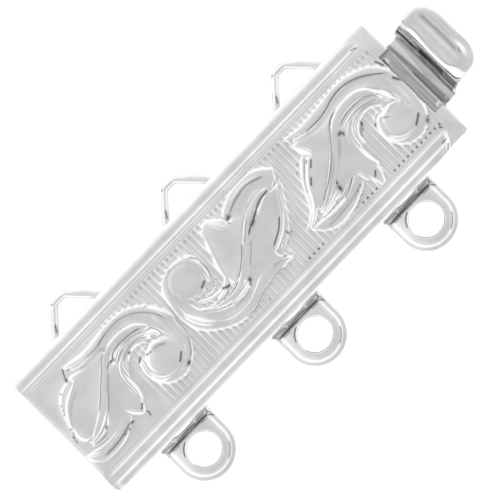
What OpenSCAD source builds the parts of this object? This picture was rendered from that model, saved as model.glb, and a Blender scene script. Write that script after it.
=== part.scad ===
// Three-strand box clasp with a stamped scroll cover and a sliding spring tongue.
// The clasp lies closed on its back. X runs along the box towards the thumb pad, Y points from
// the eyelets to the loops, and Z rises out of the relief. The origin is the middle of the back.

/* [Box] */
// Length of the box
box_len = 30; // [28:0.5:33]
// Width of the box over its side walls
box_w = 9.3; // [9.1:0.1:10]
// Height of the side walls at the outer edge
wall_h = 1.95; // [1.9:0.05:2.1]
// Height of the cover's flat ground
ground_z = 2.45; // [2.4:0.05:2.6]
// Thickness of every sheet
sheet = 0.35; // [0.3:0.01:0.36]

/* [Rails] */
// Width of the stepped rail on each long side, with its bead
rail_w = 1.45; // [1.35:0.05:1.5]
// Radius of the half-round bead beside the ground
bead_r = 0.27; // [0.22:0.01:0.28]
// Distance of the ridge line from the outer edge
ridge_in = 0.5; // [0.4:0.05:0.55]
// Length of the sloped end at the mouth
hip_len = 0.75; // [0.6:0.05:0.85]

/* [Relief] */
// Height of the leaf above the ground
leaf_h = 0.14; // [0.1:0.02:0.2]
// Height of the scroll and the veins above the ground
scroll_h = 0.34; // [0.26:0.02:0.44]
// Size of the scroll motif against its drawn size
motif_scale = 1; // [0.9:0.02:1]

/* [Eyelets and loops] */
// Distance from strand to strand
strand_pitch = 9.5; // [9:0.1:9.8]
// Radius of each eyelet's hole
hole_r = 1.05; // [0.9:0.05:1.15]
// Width of each eyelet
eyelet_w = 3.84; // [3.6:0.02:4]
// Thickness of each eyelet
eyelet_t = 0.5; // [0.4:0.05:0.6]
// Distance of the holes from the box wall
eyelet_reach = 1.5; // [1.4:0.05:1.8]
// Width of each loop where it leaves the box, over the middle of the strip
loop_w = 4.16; // [3.8:0.04:4.4]
// Distance of the loops' outer edge from the box wall
loop_reach = 2.06; // [1.8:0.02:2.4]
// Width of the strip of each loop
loop_strip = 0.48; // [0.4:0.02:0.54]

/* [Tongue] */
// Width of the spring leaf and of the step outside the mouth
leaf_w = 5; // [4.4:0.1:5.2]
// Height of the thumb pad's top face
pad_z = 4; // [3.7:0.05:4.3]
// Width of the thumb pad
pad_w = 5.1; // [4.8:0.1:5.4]
// Length of the thumb pad
pad_len = 2.05; // [1.8:0.05:2.4]
// Play between the sliding tongue and the box
play = 0.07; // [0.05:0.01:0.1]

/* [Hidden] */
$fn = 48;

silver = [0.83, 0.83, 0.84];
bright_silver = [0.88, 0.88, 0.89];
joined = 0.1; // depth to which the solids of one piece run into each other

// Box
hl = box_len / 2;
hw = box_w / 2;
ground_hw = hw - rail_w;
bead_y = ground_hw + bead_r;
ridge_y = hw - ridge_in;
ridge_z = (wall_h + ground_z) / 2;
ceiling_z = ground_z - sheet;
hip_x = hl - hip_len;
hip_ceiling_z = wall_h - 0.2;
bead_tip_x = hip_x - 0.3;
end_bevel = 0.22;
notch_w = leaf_w + 4 * play;

// Sliding sheets, from the back plate up
plate_z = sheet + play;
plate_hw = hw - sheet - 2 * play;
plate_x0 = -hl + sheet + 2 * play;
plate_x1 = hl - 0.15;
fold_r = sheet + 0.075;
fold_x = plate_x0 + fold_r;
leaf_gap = 0.02;
leaf_z0 = plate_z + 2 * fold_r - sheet / 2;
leaf_z1 = ceiling_z - 0.25 - sheet / 2;
valley_z = leaf_z1 - 0.45;
loop_t = sheet + 0.07;
slot_top = plate_z + loop_t + 0.25;
tongue_y = 0.08; // the tongue rests a little towards the loops in its play

// Thumb pad
pad_t = 0.42;
pad_x0 = hl + 1.75;
pad_outer_corner = [1.1, 1.6];
pad_inner_corner = [0.45, 0.7];
pad_seat_z = pad_z - pad_t - sheet / 2 - 0.02; // a thin seam of solder lies under the pad
groove_r = 0.15;
groove_pitch = 0.4;

// Eyelets
eyelet_shift = -0.2; // the row of eyelets stands a little away from the mouth
fillet_r = 0.4;
ear_w = 0.9;
ear_t = 0.2;
ear_z = 1.5;

// Scroll frieze: the second motif is the first one turned half a turn about frieze_x
motif_pitch = box_len / 3;
frieze_x = -5.33;
eye_at = [-2.09, -1.07];
eye_r = 1.12;
curve_steps = 3;

// Ribs of the motif, drawn round its eye. Columns: x, y, half width.
scroll_rows = [
    [-4.60, 3.72, 0.08], [-3.70, 3.38, 0.30], [-2.50, 3.35, 0.35], [-1.30, 3.50, 0.32],
    [-0.20, 3.45, 0.28], [0.70, 3.12, 0.30], [1.40, 2.40, 0.30], [1.75, 1.45, 0.36],
    [1.78, 0.60, 0.42], [1.62, -0.15, 0.42], [1.30, -0.80, 0.38], [0.75, -1.25, 0.34],
    [0.05, -1.43, 0.30], [-0.65, -1.20, 0.27], [-1.15, -0.50, 0.24], [-1.28, 0.25, 0.20],
    [-1.00, 0.80, 0.17], [-0.15, 1.12, 0.10]];
vein_rows = [
    [-6.55, -0.50, 0.10], [-5.85, -0.25, 0.25], [-4.90, 0.20, 0.27], [-4.30, 0.75, 0.20],
    [-3.40, 1.60, 0.18], [-2.50, 2.30, 0.22], [-1.65, 2.62, 0.27], [-0.70, 2.70, 0.27],
    [0.00, 2.50, 0.27], [0.55, 2.00, 0.24], [0.85, 1.35, 0.10]];
collar_rows = [
    [-2.25, 0.25, 0.10], [-2.05, 1.05, 0.20], [-1.45, 1.55, 0.22], [-0.70, 1.72, 0.18],
    [0.00, 1.60, 0.18], [0.60, 1.10, 0.15], [0.95, 0.45, 0.08]];
lobe_rows = [
    [-8.45, -0.88, 0.06], [-7.55, -1.20, 0.20], [-6.60, -1.50, 0.30], [-5.80, -1.55, 0.32],
    [-4.90, -1.36, 0.27], [-4.15, -0.98, 0.12]];

// Edges of the leaf, one after the other. Columns: x, y.
tip_edge = [[-5.60, 3.60], [-5.25, 3.00], [-5.10, 2.40]];
back_edge = [[-5.85, 1.90], [-6.75, 1.20], [-7.35, 0.30], [-8.35, -0.85]];
under_edge = [[-7.20, -1.00], [-5.80, -1.20], [-4.60, -0.90], [-3.80, -0.55]];
point_edge = [[-3.10, -1.50], [-2.65, -0.50], [-2.65, 0.75], [-2.25, 1.70], [-1.30, 2.40]];
stem_edge = [[-1.30, 3.30], [-2.50, 3.25], [-3.70, 3.30], [-4.60, 3.70]];

// Half of a loop's middle line. Columns: distance from the loop's centre, distance from the wall.
loop_rise = loop_reach - loop_strip / 2;
loop_half = [
    [0.52 * loop_w, plate_hw - hw - 0.3], [0.5 * loop_w, -0.05], [0.425 * loop_w, 0.17 * loop_rise],
    [0.28 * loop_w, 0.54 * loop_rise], [0.15 * loop_w, 0.87 * loop_rise], [0.08 * loop_w, loop_rise]];

// Middle line of the spring leaf outside the mouth. Columns: distance from the mouth, height.
step_rows = [
    [-1.3, leaf_z1 - 0.03], [-0.55, leaf_z1], [-0.1, leaf_z1 - 0.02],
    [0.22, (leaf_z1 + valley_z) / 2 + 0.03], [0.45, valley_z + 0.03], [0.8, valley_z],
    [1.08, valley_z + 0.05], [1.32, valley_z + 0.4], [1.45, (valley_z + pad_seat_z) / 2],
    [1.52, pad_seat_z - 0.45], [1.68, pad_seat_z - 0.1], [2.0, pad_seat_z], [2.9, pad_seat_z]];

// Point on a smooth curve between b and c, with a and d as the points around them
function between(a, b, c, d, t) = 0.5 * (2 * b + (c - a) * t
    + (2 * a - 5 * b + 4 * c - d) * t * t + (3 * b - a - 3 * c + d) * t * t * t);

// Smooth curve through the rows of a table
function curve(rows) = let (last = len(rows) - 1) concat(
    [for (i = [0 : last - 1], k = [0 : curve_steps - 1])
        between(rows[max(i - 1, 0)], rows[i], rows[i + 1], rows[min(i + 2, last)], k / curve_steps)],
    [rows[last]]);

// Unit vector square to a line at its point i
function across(line, i) = let (
    ahead = line[min(i + 1, len(line) - 1)] - line[max(i - 1, 0)])
    [-ahead.y, ahead.x] / norm([ahead.x, ahead.y]);

// Outline of a strip whose middle line has its half width as the third column
function strip_outline(line) = concat(
    [for (i = [0 : len(line) - 1]) [line[i].x, line[i].y] + line[i].z * across(line, i)],
    [for (i = [len(line) - 1 : -1 : 0]) [line[i].x, line[i].y] - line[i].z * across(line, i)]);

function with_width(line, half) = [for (p = line) [p.x, p.y, half]];

function strand_x(k) = (k - 2) * strand_pitch;

// Runs a YZ outline along X from x0 to x1
module along_x(x0, x1)
    translate([x0, 0, 0]) rotate([90, 0, 90]) linear_extrude(x1 - x0) children();

// Runs an XZ outline along Y, centred
module along_y(width)
    rotate([90, 0, 0]) linear_extrude(width, center = true) children();

// Block between two corners
module block(low, high)
    translate(low) cube(high - low);

module cover_section()
    polygon([[-hw, 0], [-hw, wall_h], [-ridge_y, ridge_z], [-bead_y - bead_r, ground_z],
        [bead_y + bead_r, ground_z], [ridge_y, ridge_z], [hw, wall_h], [hw, 0]]);

module hollow_section()
    polygon([[-hw + sheet, -1], [-hw + sheet, wall_h - 0.7 * sheet], [-ground_hw, ceiling_z],
        [ground_hw, ceiling_z], [hw - sheet, wall_h - 0.7 * sheet], [hw - sheet, -1]]);

// Side view of the cover: a small bevel at the closed end and the sloped end at the mouth
module cover_profile()
    polygon([[-hl, -1], [-hl, ground_z - end_bevel], [-hl + end_bevel, ground_z],
        [-hl + end_bevel, ground_z + 1], [hip_x, ground_z + 1], [hip_x, ground_z],
        [hl, wall_h], [hl, -1]]);

module bead(side) translate([0, side * bead_y, ground_z]) {
    translate([-hl + end_bevel, 0, 0]) rotate([0, 90, 0])
        cylinder(r = bead_r, h = bead_tip_x - bead_r + hl - end_bevel);
    translate([bead_tip_x - bead_r, 0, 0]) sphere(r = bead_r);
}

module ribs_plan() {
    for (rows = [scroll_rows, vein_rows, collar_rows, lobe_rows])
        polygon(strip_outline(curve(rows)));
}

module leaf_plan() {
    polygon(concat(curve(tip_edge), curve(back_edge), curve(under_edge), curve(point_edge),
        curve(stem_edge)));
    circle(r = eye_r);
}

// Sets a plan at the three motifs and raises it from the ground
module frieze(height)
    translate([0, 0, ground_z - joined]) linear_extrude(height + joined)
        intersection() {
            union() {
                for (repeat = [0, 2])
                    translate([frieze_x + repeat * motif_pitch, 0] + eye_at)
                        scale(motif_scale) children();
                translate([frieze_x, 0]) rotate(180) translate(eye_at)
                    scale(motif_scale) children();
            }
            translate([-hl + end_bevel, -ground_hw])
                square([hip_x + hl - end_bevel, 2 * ground_hw]);
        }

module cover_hollow() {
    along_x(-hl + sheet, hip_x + joined) hollow_section();
    block([hip_x, -hw + sheet, -1], [hl - sheet, hw - sheet, hip_ceiling_z]);
    // Mouth under the sloped end
    block([hl - sheet - joined, -hw + sheet, -1], [hl + 1, hw + 1, slot_top]);
    // Slot for the loops
    block([-hl + sheet, hw - sheet - joined, -1], [hl + 1, hw + 1, slot_top]);
    // Notch for the step of the tongue
    block([hip_x, -notch_w / 2, -1], [hl + 1, notch_w / 2, ground_z + 1]);
}

module cover() color(silver) difference() {
    union() {
        intersection() {
            along_x(-hl, hl) cover_section();
            along_y(box_w + 2) cover_profile();
        }
        bead(1);
        bead(-1);
        frieze(leaf_h) leaf_plan();
        frieze(scroll_h) ribs_plan();
    }
    cover_hollow();
}

module back_plate() color(silver)
    block([-hl + sheet, -hw + sheet, 0], [hl, hw, sheet]);

module eyelet(k) color(bright_silver) translate([strand_x(k) + eyelet_shift, -hw, 0]) difference() {
    union() {
        block([-eyelet_w / 2, -eyelet_reach, 0], [eyelet_w / 2, 0, eyelet_t]);
        // Round end, cut off where it would run into the wall
        intersection() {
            translate([0, -eyelet_reach, 0]) cylinder(d = eyelet_w, h = eyelet_t);
            block([-eyelet_w, -2 * eyelet_w, -1], [eyelet_w, 0, eyelet_t + 1]);
        }
        block([-eyelet_w / 2, -fillet_r, 0], [eyelet_w / 2, 0, eyelet_t + fillet_r]);
        for (side = [-1, 1])
            translate([side * (eyelet_w - ear_w) / 2, 0, 0])
                block([-ear_w / 2, -ear_t, 0], [ear_w / 2, 0, ear_z]);
    }
    translate([0, -fillet_r, eyelet_t + fillet_r]) rotate([0, 90, 0])
        cylinder(r = fillet_r - 0.03, h = eyelet_w + 1, center = true);
    translate([0, -eyelet_reach, -1]) cylinder(r = hole_r, h = eyelet_t + 2);
}

module eyelet_1() eyelet(1);
module eyelet_2() eyelet(2);
module eyelet_3() eyelet(3);

module tongue_plate() color(silver) translate([0, tongue_y, 0]) {
    block([fold_x, -plate_hw, plate_z], [plate_x1, plate_hw, plate_z + sheet]);
    // Fold at the closed end, from which the spring leaf comes back
    along_y(leaf_w) translate([fold_x, plate_z + fold_r]) intersection() {
        difference() {
            circle(r = fold_r);
            circle(r = fold_r - sheet);
        }
        translate([-2 * fold_r, -2 * fold_r]) square([2 * fold_r, 4 * fold_r]);
    }
}

// Flat strip whose two feet meet the edge of the tongue plate
module loop(k) color(bright_silver) translate([strand_x(k), hw + tongue_y, plate_z])
    linear_extrude(loop_t) intersection() {
        left = [for (p = loop_half) [-p.x, p.y]];
        right = [for (i = [len(loop_half) - 1 : -1 : 0]) loop_half[i]];
        polygon(strip_outline(with_width(curve(concat(left, right)), loop_strip / 2)));
        translate([-loop_w, plate_hw - hw]) square([2 * loop_w, loop_reach + hw - plate_hw]);
    }

module loop_1() loop(1);
module loop_2() loop(2);
module loop_3() loop(3);

module spring_leaf() color(silver) translate([0, tongue_y, 0]) along_y(leaf_w) {
    step = [for (p = step_rows) [hl + p.x, p.y]];
    polygon(strip_outline(with_width(
        concat([[fold_x + leaf_gap, leaf_z0]], curve(step)), sheet / 2)));
}

// Quarter ellipse round a corner of the pad, from angle a0 to a0 + 90
function pad_corner(corner, radii, a0) = [for (k = [0 : 6]) let (a = a0 + 15 * k)
    corner + [radii.x * cos(a), radii.y * sin(a)]];

module pad_plan() {
    outer = [pad_len, pad_w / 2] - pad_outer_corner;
    inner = [pad_inner_corner.x, pad_w / 2 - pad_inner_corner.y];
    polygon(concat(
        pad_corner([outer.x, -outer.y], pad_outer_corner, -90), pad_corner(outer, pad_outer_corner, 0),
        pad_corner(inner, pad_inner_corner, 90), pad_corner([inner.x, -inner.y], pad_inner_corner, 180)));
}

module thumb_pad() color(bright_silver) translate([0, tongue_y, 0]) difference() {
    translate([pad_x0, 0, pad_z - pad_t]) linear_extrude(pad_t) pad_plan();
    for (i = [0 : 3])
        translate([pad_x0 + 0.42 + i * groove_pitch, 0, pad_z + groove_r / 2]) rotate([90, 0, 0])
            cylinder(r = groove_r, h = pad_w - 1 - 0.3 * i, center = true);
}

cover();
back_plate();
eyelet_1();
eyelet_2();
eyelet_3();
tongue_plate();
loop_1();
loop_2();
loop_3();
spring_leaf();
thumb_pad();
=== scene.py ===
from math import cos, pi, radians, sin, sqrt

import bmesh
import bpy
import numpy as np
from mathutils import Matrix, Vector


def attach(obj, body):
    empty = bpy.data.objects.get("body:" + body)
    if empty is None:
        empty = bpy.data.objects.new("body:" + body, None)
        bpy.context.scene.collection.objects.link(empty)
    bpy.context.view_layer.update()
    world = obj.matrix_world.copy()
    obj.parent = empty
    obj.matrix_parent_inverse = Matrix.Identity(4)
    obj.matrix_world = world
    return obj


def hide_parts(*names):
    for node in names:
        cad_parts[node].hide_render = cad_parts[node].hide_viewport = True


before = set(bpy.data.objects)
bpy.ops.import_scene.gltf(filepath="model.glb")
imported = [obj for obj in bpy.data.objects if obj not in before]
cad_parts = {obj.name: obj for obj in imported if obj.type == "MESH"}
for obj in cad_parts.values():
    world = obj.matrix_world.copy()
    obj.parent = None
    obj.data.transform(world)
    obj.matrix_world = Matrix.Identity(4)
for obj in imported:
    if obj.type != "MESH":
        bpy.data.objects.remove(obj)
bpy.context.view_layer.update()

# Three-strand box clasp, closed and lying on its back. Sizes are in millimetres where no note says
# otherwise; X runs along the box to the thumb pad, Y from the eyelets to the loops, Z out of the relief.
mm = 0.001
print("frame loaded")


def putInScene(name, data):
    obj = bpy.data.objects.new(name, data)
    bpy.context.scene.collection.objects.link(obj)
    return obj


# Photograph's view: seen from 12 degrees off square, turned 46 degrees on the picture
viewSet = {
    "toCamera": (0.0663, -0.2079, 0.9759), "turn": 46.0, "aim": (0.60, 0.335), "frameWidth": 29.76,
    "distance": 500.0, "sensor": 36.0, "clip": (0.01, 20),
}


def makeCamera():
    s = viewSet
    back = Vector(s["toCamera"]).normalized()
    ex = (Vector((1, 0, 0)) - back * back.x).normalized()
    ey = back.cross(ex)
    c, d = cos(radians(s["turn"])), sin(radians(s["turn"]))
    right, up = ex * c - ey * d, ex * d + ey * c
    lens = bpy.data.cameras.new("camera")
    lens.sensor_width = s["sensor"]
    lens.lens = s["sensor"] * s["distance"] / s["frameWidth"]
    lens.clip_start, lens.clip_end = s["clip"]
    camera = putInScene("camera", lens)
    place = (ex * s["aim"][0] + ey * s["aim"][1] + back * s["distance"]) * mm
    camera.matrix_world = Matrix.Translation(place) @ Matrix((right, up, back)).transposed().to_4x4()
    bpy.context.scene.camera = camera


def grey(level, blue=0.0):
    return (level, level, level + blue, 1)


def setInputs(node, values):
    for name, value in values.items():
        node.inputs[name].default_value = value


def addNode(tree, kind, values={}):
    # Shader node with some of its inputs set
    node = tree.nodes.new("ShaderNode" + kind)
    setInputs(node, values)
    return node


def setRamp(node, stops):
    marks = node.color_ramp.elements
    while len(marks) < len(stops):
        marks.new(0.5)
    for mark, (place, color) in zip(marks, stops):
        mark.position, mark.color = place, color


def wire(tree, links):
    # Each link: a node and its output, then a node and its input
    for source, output, target, entry in links:
        tree.links.new(source.outputs[output], target.inputs[entry])


# Light tent: grey roof, white sides, dark gap above the table. Rows: zenith angle, brightness
lightSet = {
    "tent": [(0, 0.69), (12, 0.705), (20, 0.765), (30, 0.9), (40, 1.09), (50, 1.18), (71, 1.22),
             (78, 0.5), (82, 0.06), (90, 0.06), (94, 0.95)],
    "backdrop": 0.97, "floorSize": 3.0, "floorColor": 0.85, "floorRough": 0.9, "floorGlow": 0.55,
    "floorDrop": 2e-5,
}


def makeTent():
    s = lightSet
    world = bpy.data.worlds.new("tent")
    bpy.context.scene.world = world
    world.use_nodes = True
    t = world.node_tree
    t.nodes.clear()
    coord, parts, path = addNode(t, "TexCoord"), addNode(t, "SeparateXYZ"), addNode(t, "LightPath")
    height, ramp = addNode(t, "MapRange", {"From Min": -1}), addNode(t, "ValToRGB")
    shade, white = addNode(t, "Background"), addNode(t, "Background", {"Color": grey(s["backdrop"])})
    mix, out = addNode(t, "MixShader"), addNode(t, "OutputWorld")
    setRamp(ramp, [((cos(radians(a)) + 1) / 2, grey(level)) for a, level in s["tent"]][::-1])
    wire(t, [(coord, "Generated", parts, 0), (parts, "Z", height, "Value"), (height, 0, ramp, 0),
             (ramp, "Color", shade, "Color"), (path, "Is Camera Ray", mix, 0), (shade, 0, mix, 1),
             (white, 0, mix, 2), (mix, 0, out, "Surface")])
    bpy.context.scene.view_settings.view_transform = "Standard"


def makeFloor():
    s = lightSet
    h, z = s["floorSize"] / 2, -s["floorDrop"]
    mesh = bpy.data.meshes.new("floor")
    mesh.from_pydata([(-h, -h, z), (h, -h, z), (h, h, z), (-h, h, z)], [], [(0, 1, 2, 3)])
    paper = bpy.data.materials.new("paper")
    paper.use_nodes = True
    setInputs(paper.node_tree.nodes["Principled BSDF"], {
        "Base Color": grey(s["floorColor"]), "Roughness": s["floorRough"], "Specular IOR Level": 0.0,
        "Emission Color": grey(1), "Emission Strength": s["floorGlow"]})
    mesh.materials.append(paper)
    putInScene("floor", mesh)


makeCamera()
makeTent()
makeFloor()
print("camera and light tent made")


# Silver finishes: plating with faint blotches, fine polishing lines and painted shade in the folds, from a
# per-point layer
silverSets = {
    "cover": {"tone": 0.9, "rough": 0.05, "lines": (1, 8, 1), "depth": 0.04, "slot": "cover_silver"},
    "sheet": {"tone": 0.84, "rough": 0.12, "lines": (1, 40, 40), "depth": 0.12, "slot": "plate_silver"},
    "eyelet": {"tone": 0.94, "rough": 0.06, "lines": (6, 6, 6), "depth": 0.04, "slot": "eyelet_silver"},
    "loop": {"tone": 0.94, "rough": 0.06, "lines": (6, 6, 6), "depth": 0.04, "slot": "loop_silver"},
    "spring": {"tone": 0.86, "rough": 0.07, "lines": (1, 30, 30), "depth": 0.06, "slot": "spring_silver"},
    "pad": {"tone": 0.9, "rough": 0.05, "lines": (8, 1, 8), "depth": 0.04, "slot": "pad_silver"},
}
platingSet = {
    "blotches": {"Scale": 700, "Detail": 5}, "blotchRange": (0.35, 0.65), "toneSpread": 0.1, "cool": 0.004,
    "polish": {"Scale": 1500, "Detail": 4}, "roughRange": (0.6, 1.5), "bump": 0.00002, "paintedShading": 0.08,
}


def silver(name):
    s, c = silverSets[name], platingSet
    mat = bpy.data.materials.new(name + "Silver")
    mat.use_nodes = True
    t = mat.node_tree
    metal = t.nodes["Principled BSDF"]
    metal.inputs["Metallic"].default_value = 1.0
    coord, paintedShadingLayer = addNode(t, "TexCoord"), addNode(t, "Attribute")
    paintedShadingLayer.attribute_name = "paintedShadingLayer"
    blotch, lines = addNode(t, "TexNoise", c["blotches"]), addNode(t, "TexNoise", c["polish"])
    stretch, tone = addNode(t, "Mapping", {"Scale": s["lines"]}), addNode(t, "ValToRGB")
    levels = (s["tone"] - c["toneSpread"], s["tone"])
    setRamp(tone, [(at, grey(level, c["cool"])) for at, level in zip(c["blotchRange"], levels)])
    # Mixes the per-point painted shade into the colour: darker where the layer is high, lighter where it is
    # low
    dark = addNode(t, "Mix")
    dark.data_type = "RGBA"
    dark.inputs["B"].default_value = grey(c["paintedShading"])
    low, high = c["roughRange"]
    rough = addNode(t, "MapRange", {"To Min": s["rough"] * low, "To Max": s["rough"] * high})
    bump = addNode(t, "Bump", {"Strength": s["depth"], "Distance": c["bump"]})
    wire(t, [(coord, "Object", blotch, "Vector"), (coord, "Object", stretch, "Vector"),
             (stretch, 0, lines, "Vector"), (blotch, "Fac", tone, "Fac"), (tone, "Color", dark, "A"),
             (paintedShadingLayer, "Fac", dark, "Factor"), (dark, "Result", metal, "Base Color"),
             (lines, "Fac", rough, "Value"), (rough, "Result", metal, "Roughness"),
             (lines, "Fac", bump, "Height"), (bump, "Normal", metal, "Normal")])
    return mat


finish = {name: silver(name) for name in silverSets}


def dressPiece(name, mesh, body, node, look, sharp=32, paintedShadingLayer=()):
    # Turns millimetres into metres, sets normals, painted shading and finish, the body and the node it
    # stands for
    mesh.transform(Matrix.Scale(mm, 4))
    mesh.shade_smooth()
    mesh.set_sharp_from_angle(angle=radians(sharp))
    if len(paintedShadingLayer):
        dark = np.zeros(len(mesh.vertices), np.float32)
        dark[:len(paintedShadingLayer)] = paintedShadingLayer
        mesh.attributes.new("paintedShadingLayer", "FLOAT", "POINT").data.foreach_set("value", dark)
    mesh.materials.append(finish[look])
    obj = putInScene(name, mesh)
    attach(obj, body)
    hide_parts(node)


class Shape:
    # Gathers closed shells into one list of points and faces
    def __init__(self):
        self.points, self.faces = [], []

    def add(self, points, faces):
        k = len(self.points)
        self.points += [tuple(p) for p in points]
        self.faces += [tuple(i + k for i in f) for f in faces]

    def loft(self, rings, loop=False):
        # Skin over rings of equal length; caps both ends unless it runs round in a loop
        n, m = len(rings[0]), len(rings)
        faces = []
        for j in range(m if loop else m - 1):
            a, b = j * n, (j + 1) % m * n
            faces += [(a + i, a + (i + 1) % n, b + (i + 1) % n, b + i) for i in range(n)]
        if not loop:
            faces += [tuple(range(n))[::-1], tuple(range((m - 1) * n, m * n))]
        self.add([p for ring in rings for p in ring], faces)
        return self

    def slab(self, gx, gy, gz, low):
        # Grid of heights with walls down to a flat underside
        ny, nx = gx.shape
        grid = np.stack([gx, gy, gz], -1).reshape(-1, 3)
        at = np.arange(ny * nx).reshape(ny, nx)
        rim = np.concatenate([at[0, :-1], at[:-1, -1], at[-1, :0:-1], at[:0:-1, 0]])
        foot = grid[rim].copy()
        foot[:, 2] = low
        quads = np.stack([at[:-1, :-1], at[:-1, 1:], at[1:, 1:], at[1:, :-1]], -1).reshape(-1, 4)
        base, k = ny * nx, len(rim)
        walls = [(int(rim[i]), base + i, base + (i + 1) % k, int(rim[(i + 1) % k])) for i in range(k)]
        self.add(np.vstack([grid, foot]).tolist(),
                 quads.tolist() + walls + [tuple(range(base + k - 1, base - 1, -1))])
        return self

    def mesh(self, name):
        mesh = bpy.data.meshes.new(name)
        mesh.from_pydata(np.asarray(self.points, float).tolist(), [], self.faces)
        bm = bmesh.new()
        bm.from_mesh(mesh)
        bmesh.ops.recalc_face_normals(bm, faces=bm.faces)
        bm.to_mesh(mesh)
        bm.free()
        return mesh

    def dress(self, name, *settings):
        dressPiece(name, self.mesh(name), *settings)


def roundedSection(half, low, high, r, steps=4):
    # Rounded rectangle across (first number) and up (second), anticlockwise
    pts = []
    for cx, cz, start in ((half - r, low + r, -90), (half - r, high - r, 0),
                          (r - half, high - r, 90), (r - half, low + r, 180)):
        for k in range(steps + 1):
            a = radians(start + 90 * k / steps)
            pts.append((cx + r * cos(a), cz + r * sin(a)))
    return pts


# Stamped relief of the cover: heights above the ground and, beside them, how much painted shade each fold
# has. Hatch:
# pitch, height, where it starts above and below the middle line, over what length, share of the rise.
# Blurs: fine one, shoulders, broad swelling and the hollows where painted shade is laid, with their shares.
reliefSet = {
    "x0": -14.96, "x1": 14.22, "halfWidth": 3.2, "cell": 0.045,
    "ground": 2.45, "hatchPitch": 0.38, "hatchHeight": 0.05, "hatchStart": (-9.0, -9.3), "hatchFade": 0.4,
    "hatchRise": 0.34, "blur": 0.038, "shoulder": 0.2, "shoulderShare": 0.25, "underside": 2.0,
    "swell": 0.42, "swellShare": 1.3, "hollow": 0.14, "hollowDepth": 0.045, "hollowDark": 0.3,
}


def smoothRows(rows, steps=6):
    # Catmull-Rom curve through the rows, any number of columns
    rows = np.asarray(rows, float)
    ends = np.vstack([2 * rows[0] - rows[1], rows, 2 * rows[-1] - rows[-2]])
    t = np.arange(steps)[:, None] / steps
    parts = []
    for i in range(len(rows) - 1):
        a, b, c, d = ends[i:i + 4]
        parts.append(0.5 * (2 * b + (c - a) * t + (2 * a - 5 * b + 4 * c - d) * t ** 2
                            + (3 * b - a - 3 * c + d) * t ** 3))
    return np.vstack(parts + [rows[-1:]])


def nearLine(gx, gy, line):
    # Signed distance to a polyline (left of it is positive), plain distance, how far along it the nearest
    # point is, and the polyline's other columns there
    best, side, along = np.full(gx.shape, 1e9), np.zeros(gx.shape), np.zeros(gx.shape)
    extra = np.zeros(gx.shape + (line.shape[1] - 2,))
    for i in range(len(line) - 1):
        (x0, y0), (x1, y1) = line[i, :2], line[i + 1, :2]
        dx, dy = x1 - x0, y1 - y0
        t = np.clip(((gx - x0) * dx + (gy - y0) * dy) / (dx * dx + dy * dy + 1e-12), 0, 1)
        d = np.hypot(gx - x0 - t * dx, gy - y0 - t * dy)
        hit = d < best
        best[hit] = d[hit]
        side[hit] = np.sign((dx * (gy - y0) - dy * (gx - x0))[hit])
        along[hit] = (i + t[hit]) / (len(line) - 1)
        extra[hit] = line[i, 2:] + t[hit][:, None] * (line[i + 1, 2:] - line[i, 2:])
    return best * side, best, along, extra


def insideOf(gx, gy, outline):
    # Signed distance to a closed outline, positive inside
    closed = np.vstack([outline, outline[:1]])
    d = nearLine(gx, gy, closed)[1]
    inside = np.zeros(gx.shape, bool)
    for (x0, y0), (x1, y1) in zip(closed[:-1], closed[1:]):
        crosses = (y0 > gy) != (y1 > gy)
        inside ^= crosses & (gx < (x1 - x0) * (gy - y0) / (y1 - y0 + 1e-12) + x0)
    return np.where(inside, d, -d)


def easy(t):
    t = np.clip(t, 0, 1)
    return t * t * (3 - 2 * t)


def stroke(d, along, width, fade):
    # Strength of a soft line that fades in and out at its ends
    return easy(along / fade) * easy((1 - along) / fade) * np.exp(-(d / width) ** 2)


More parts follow.
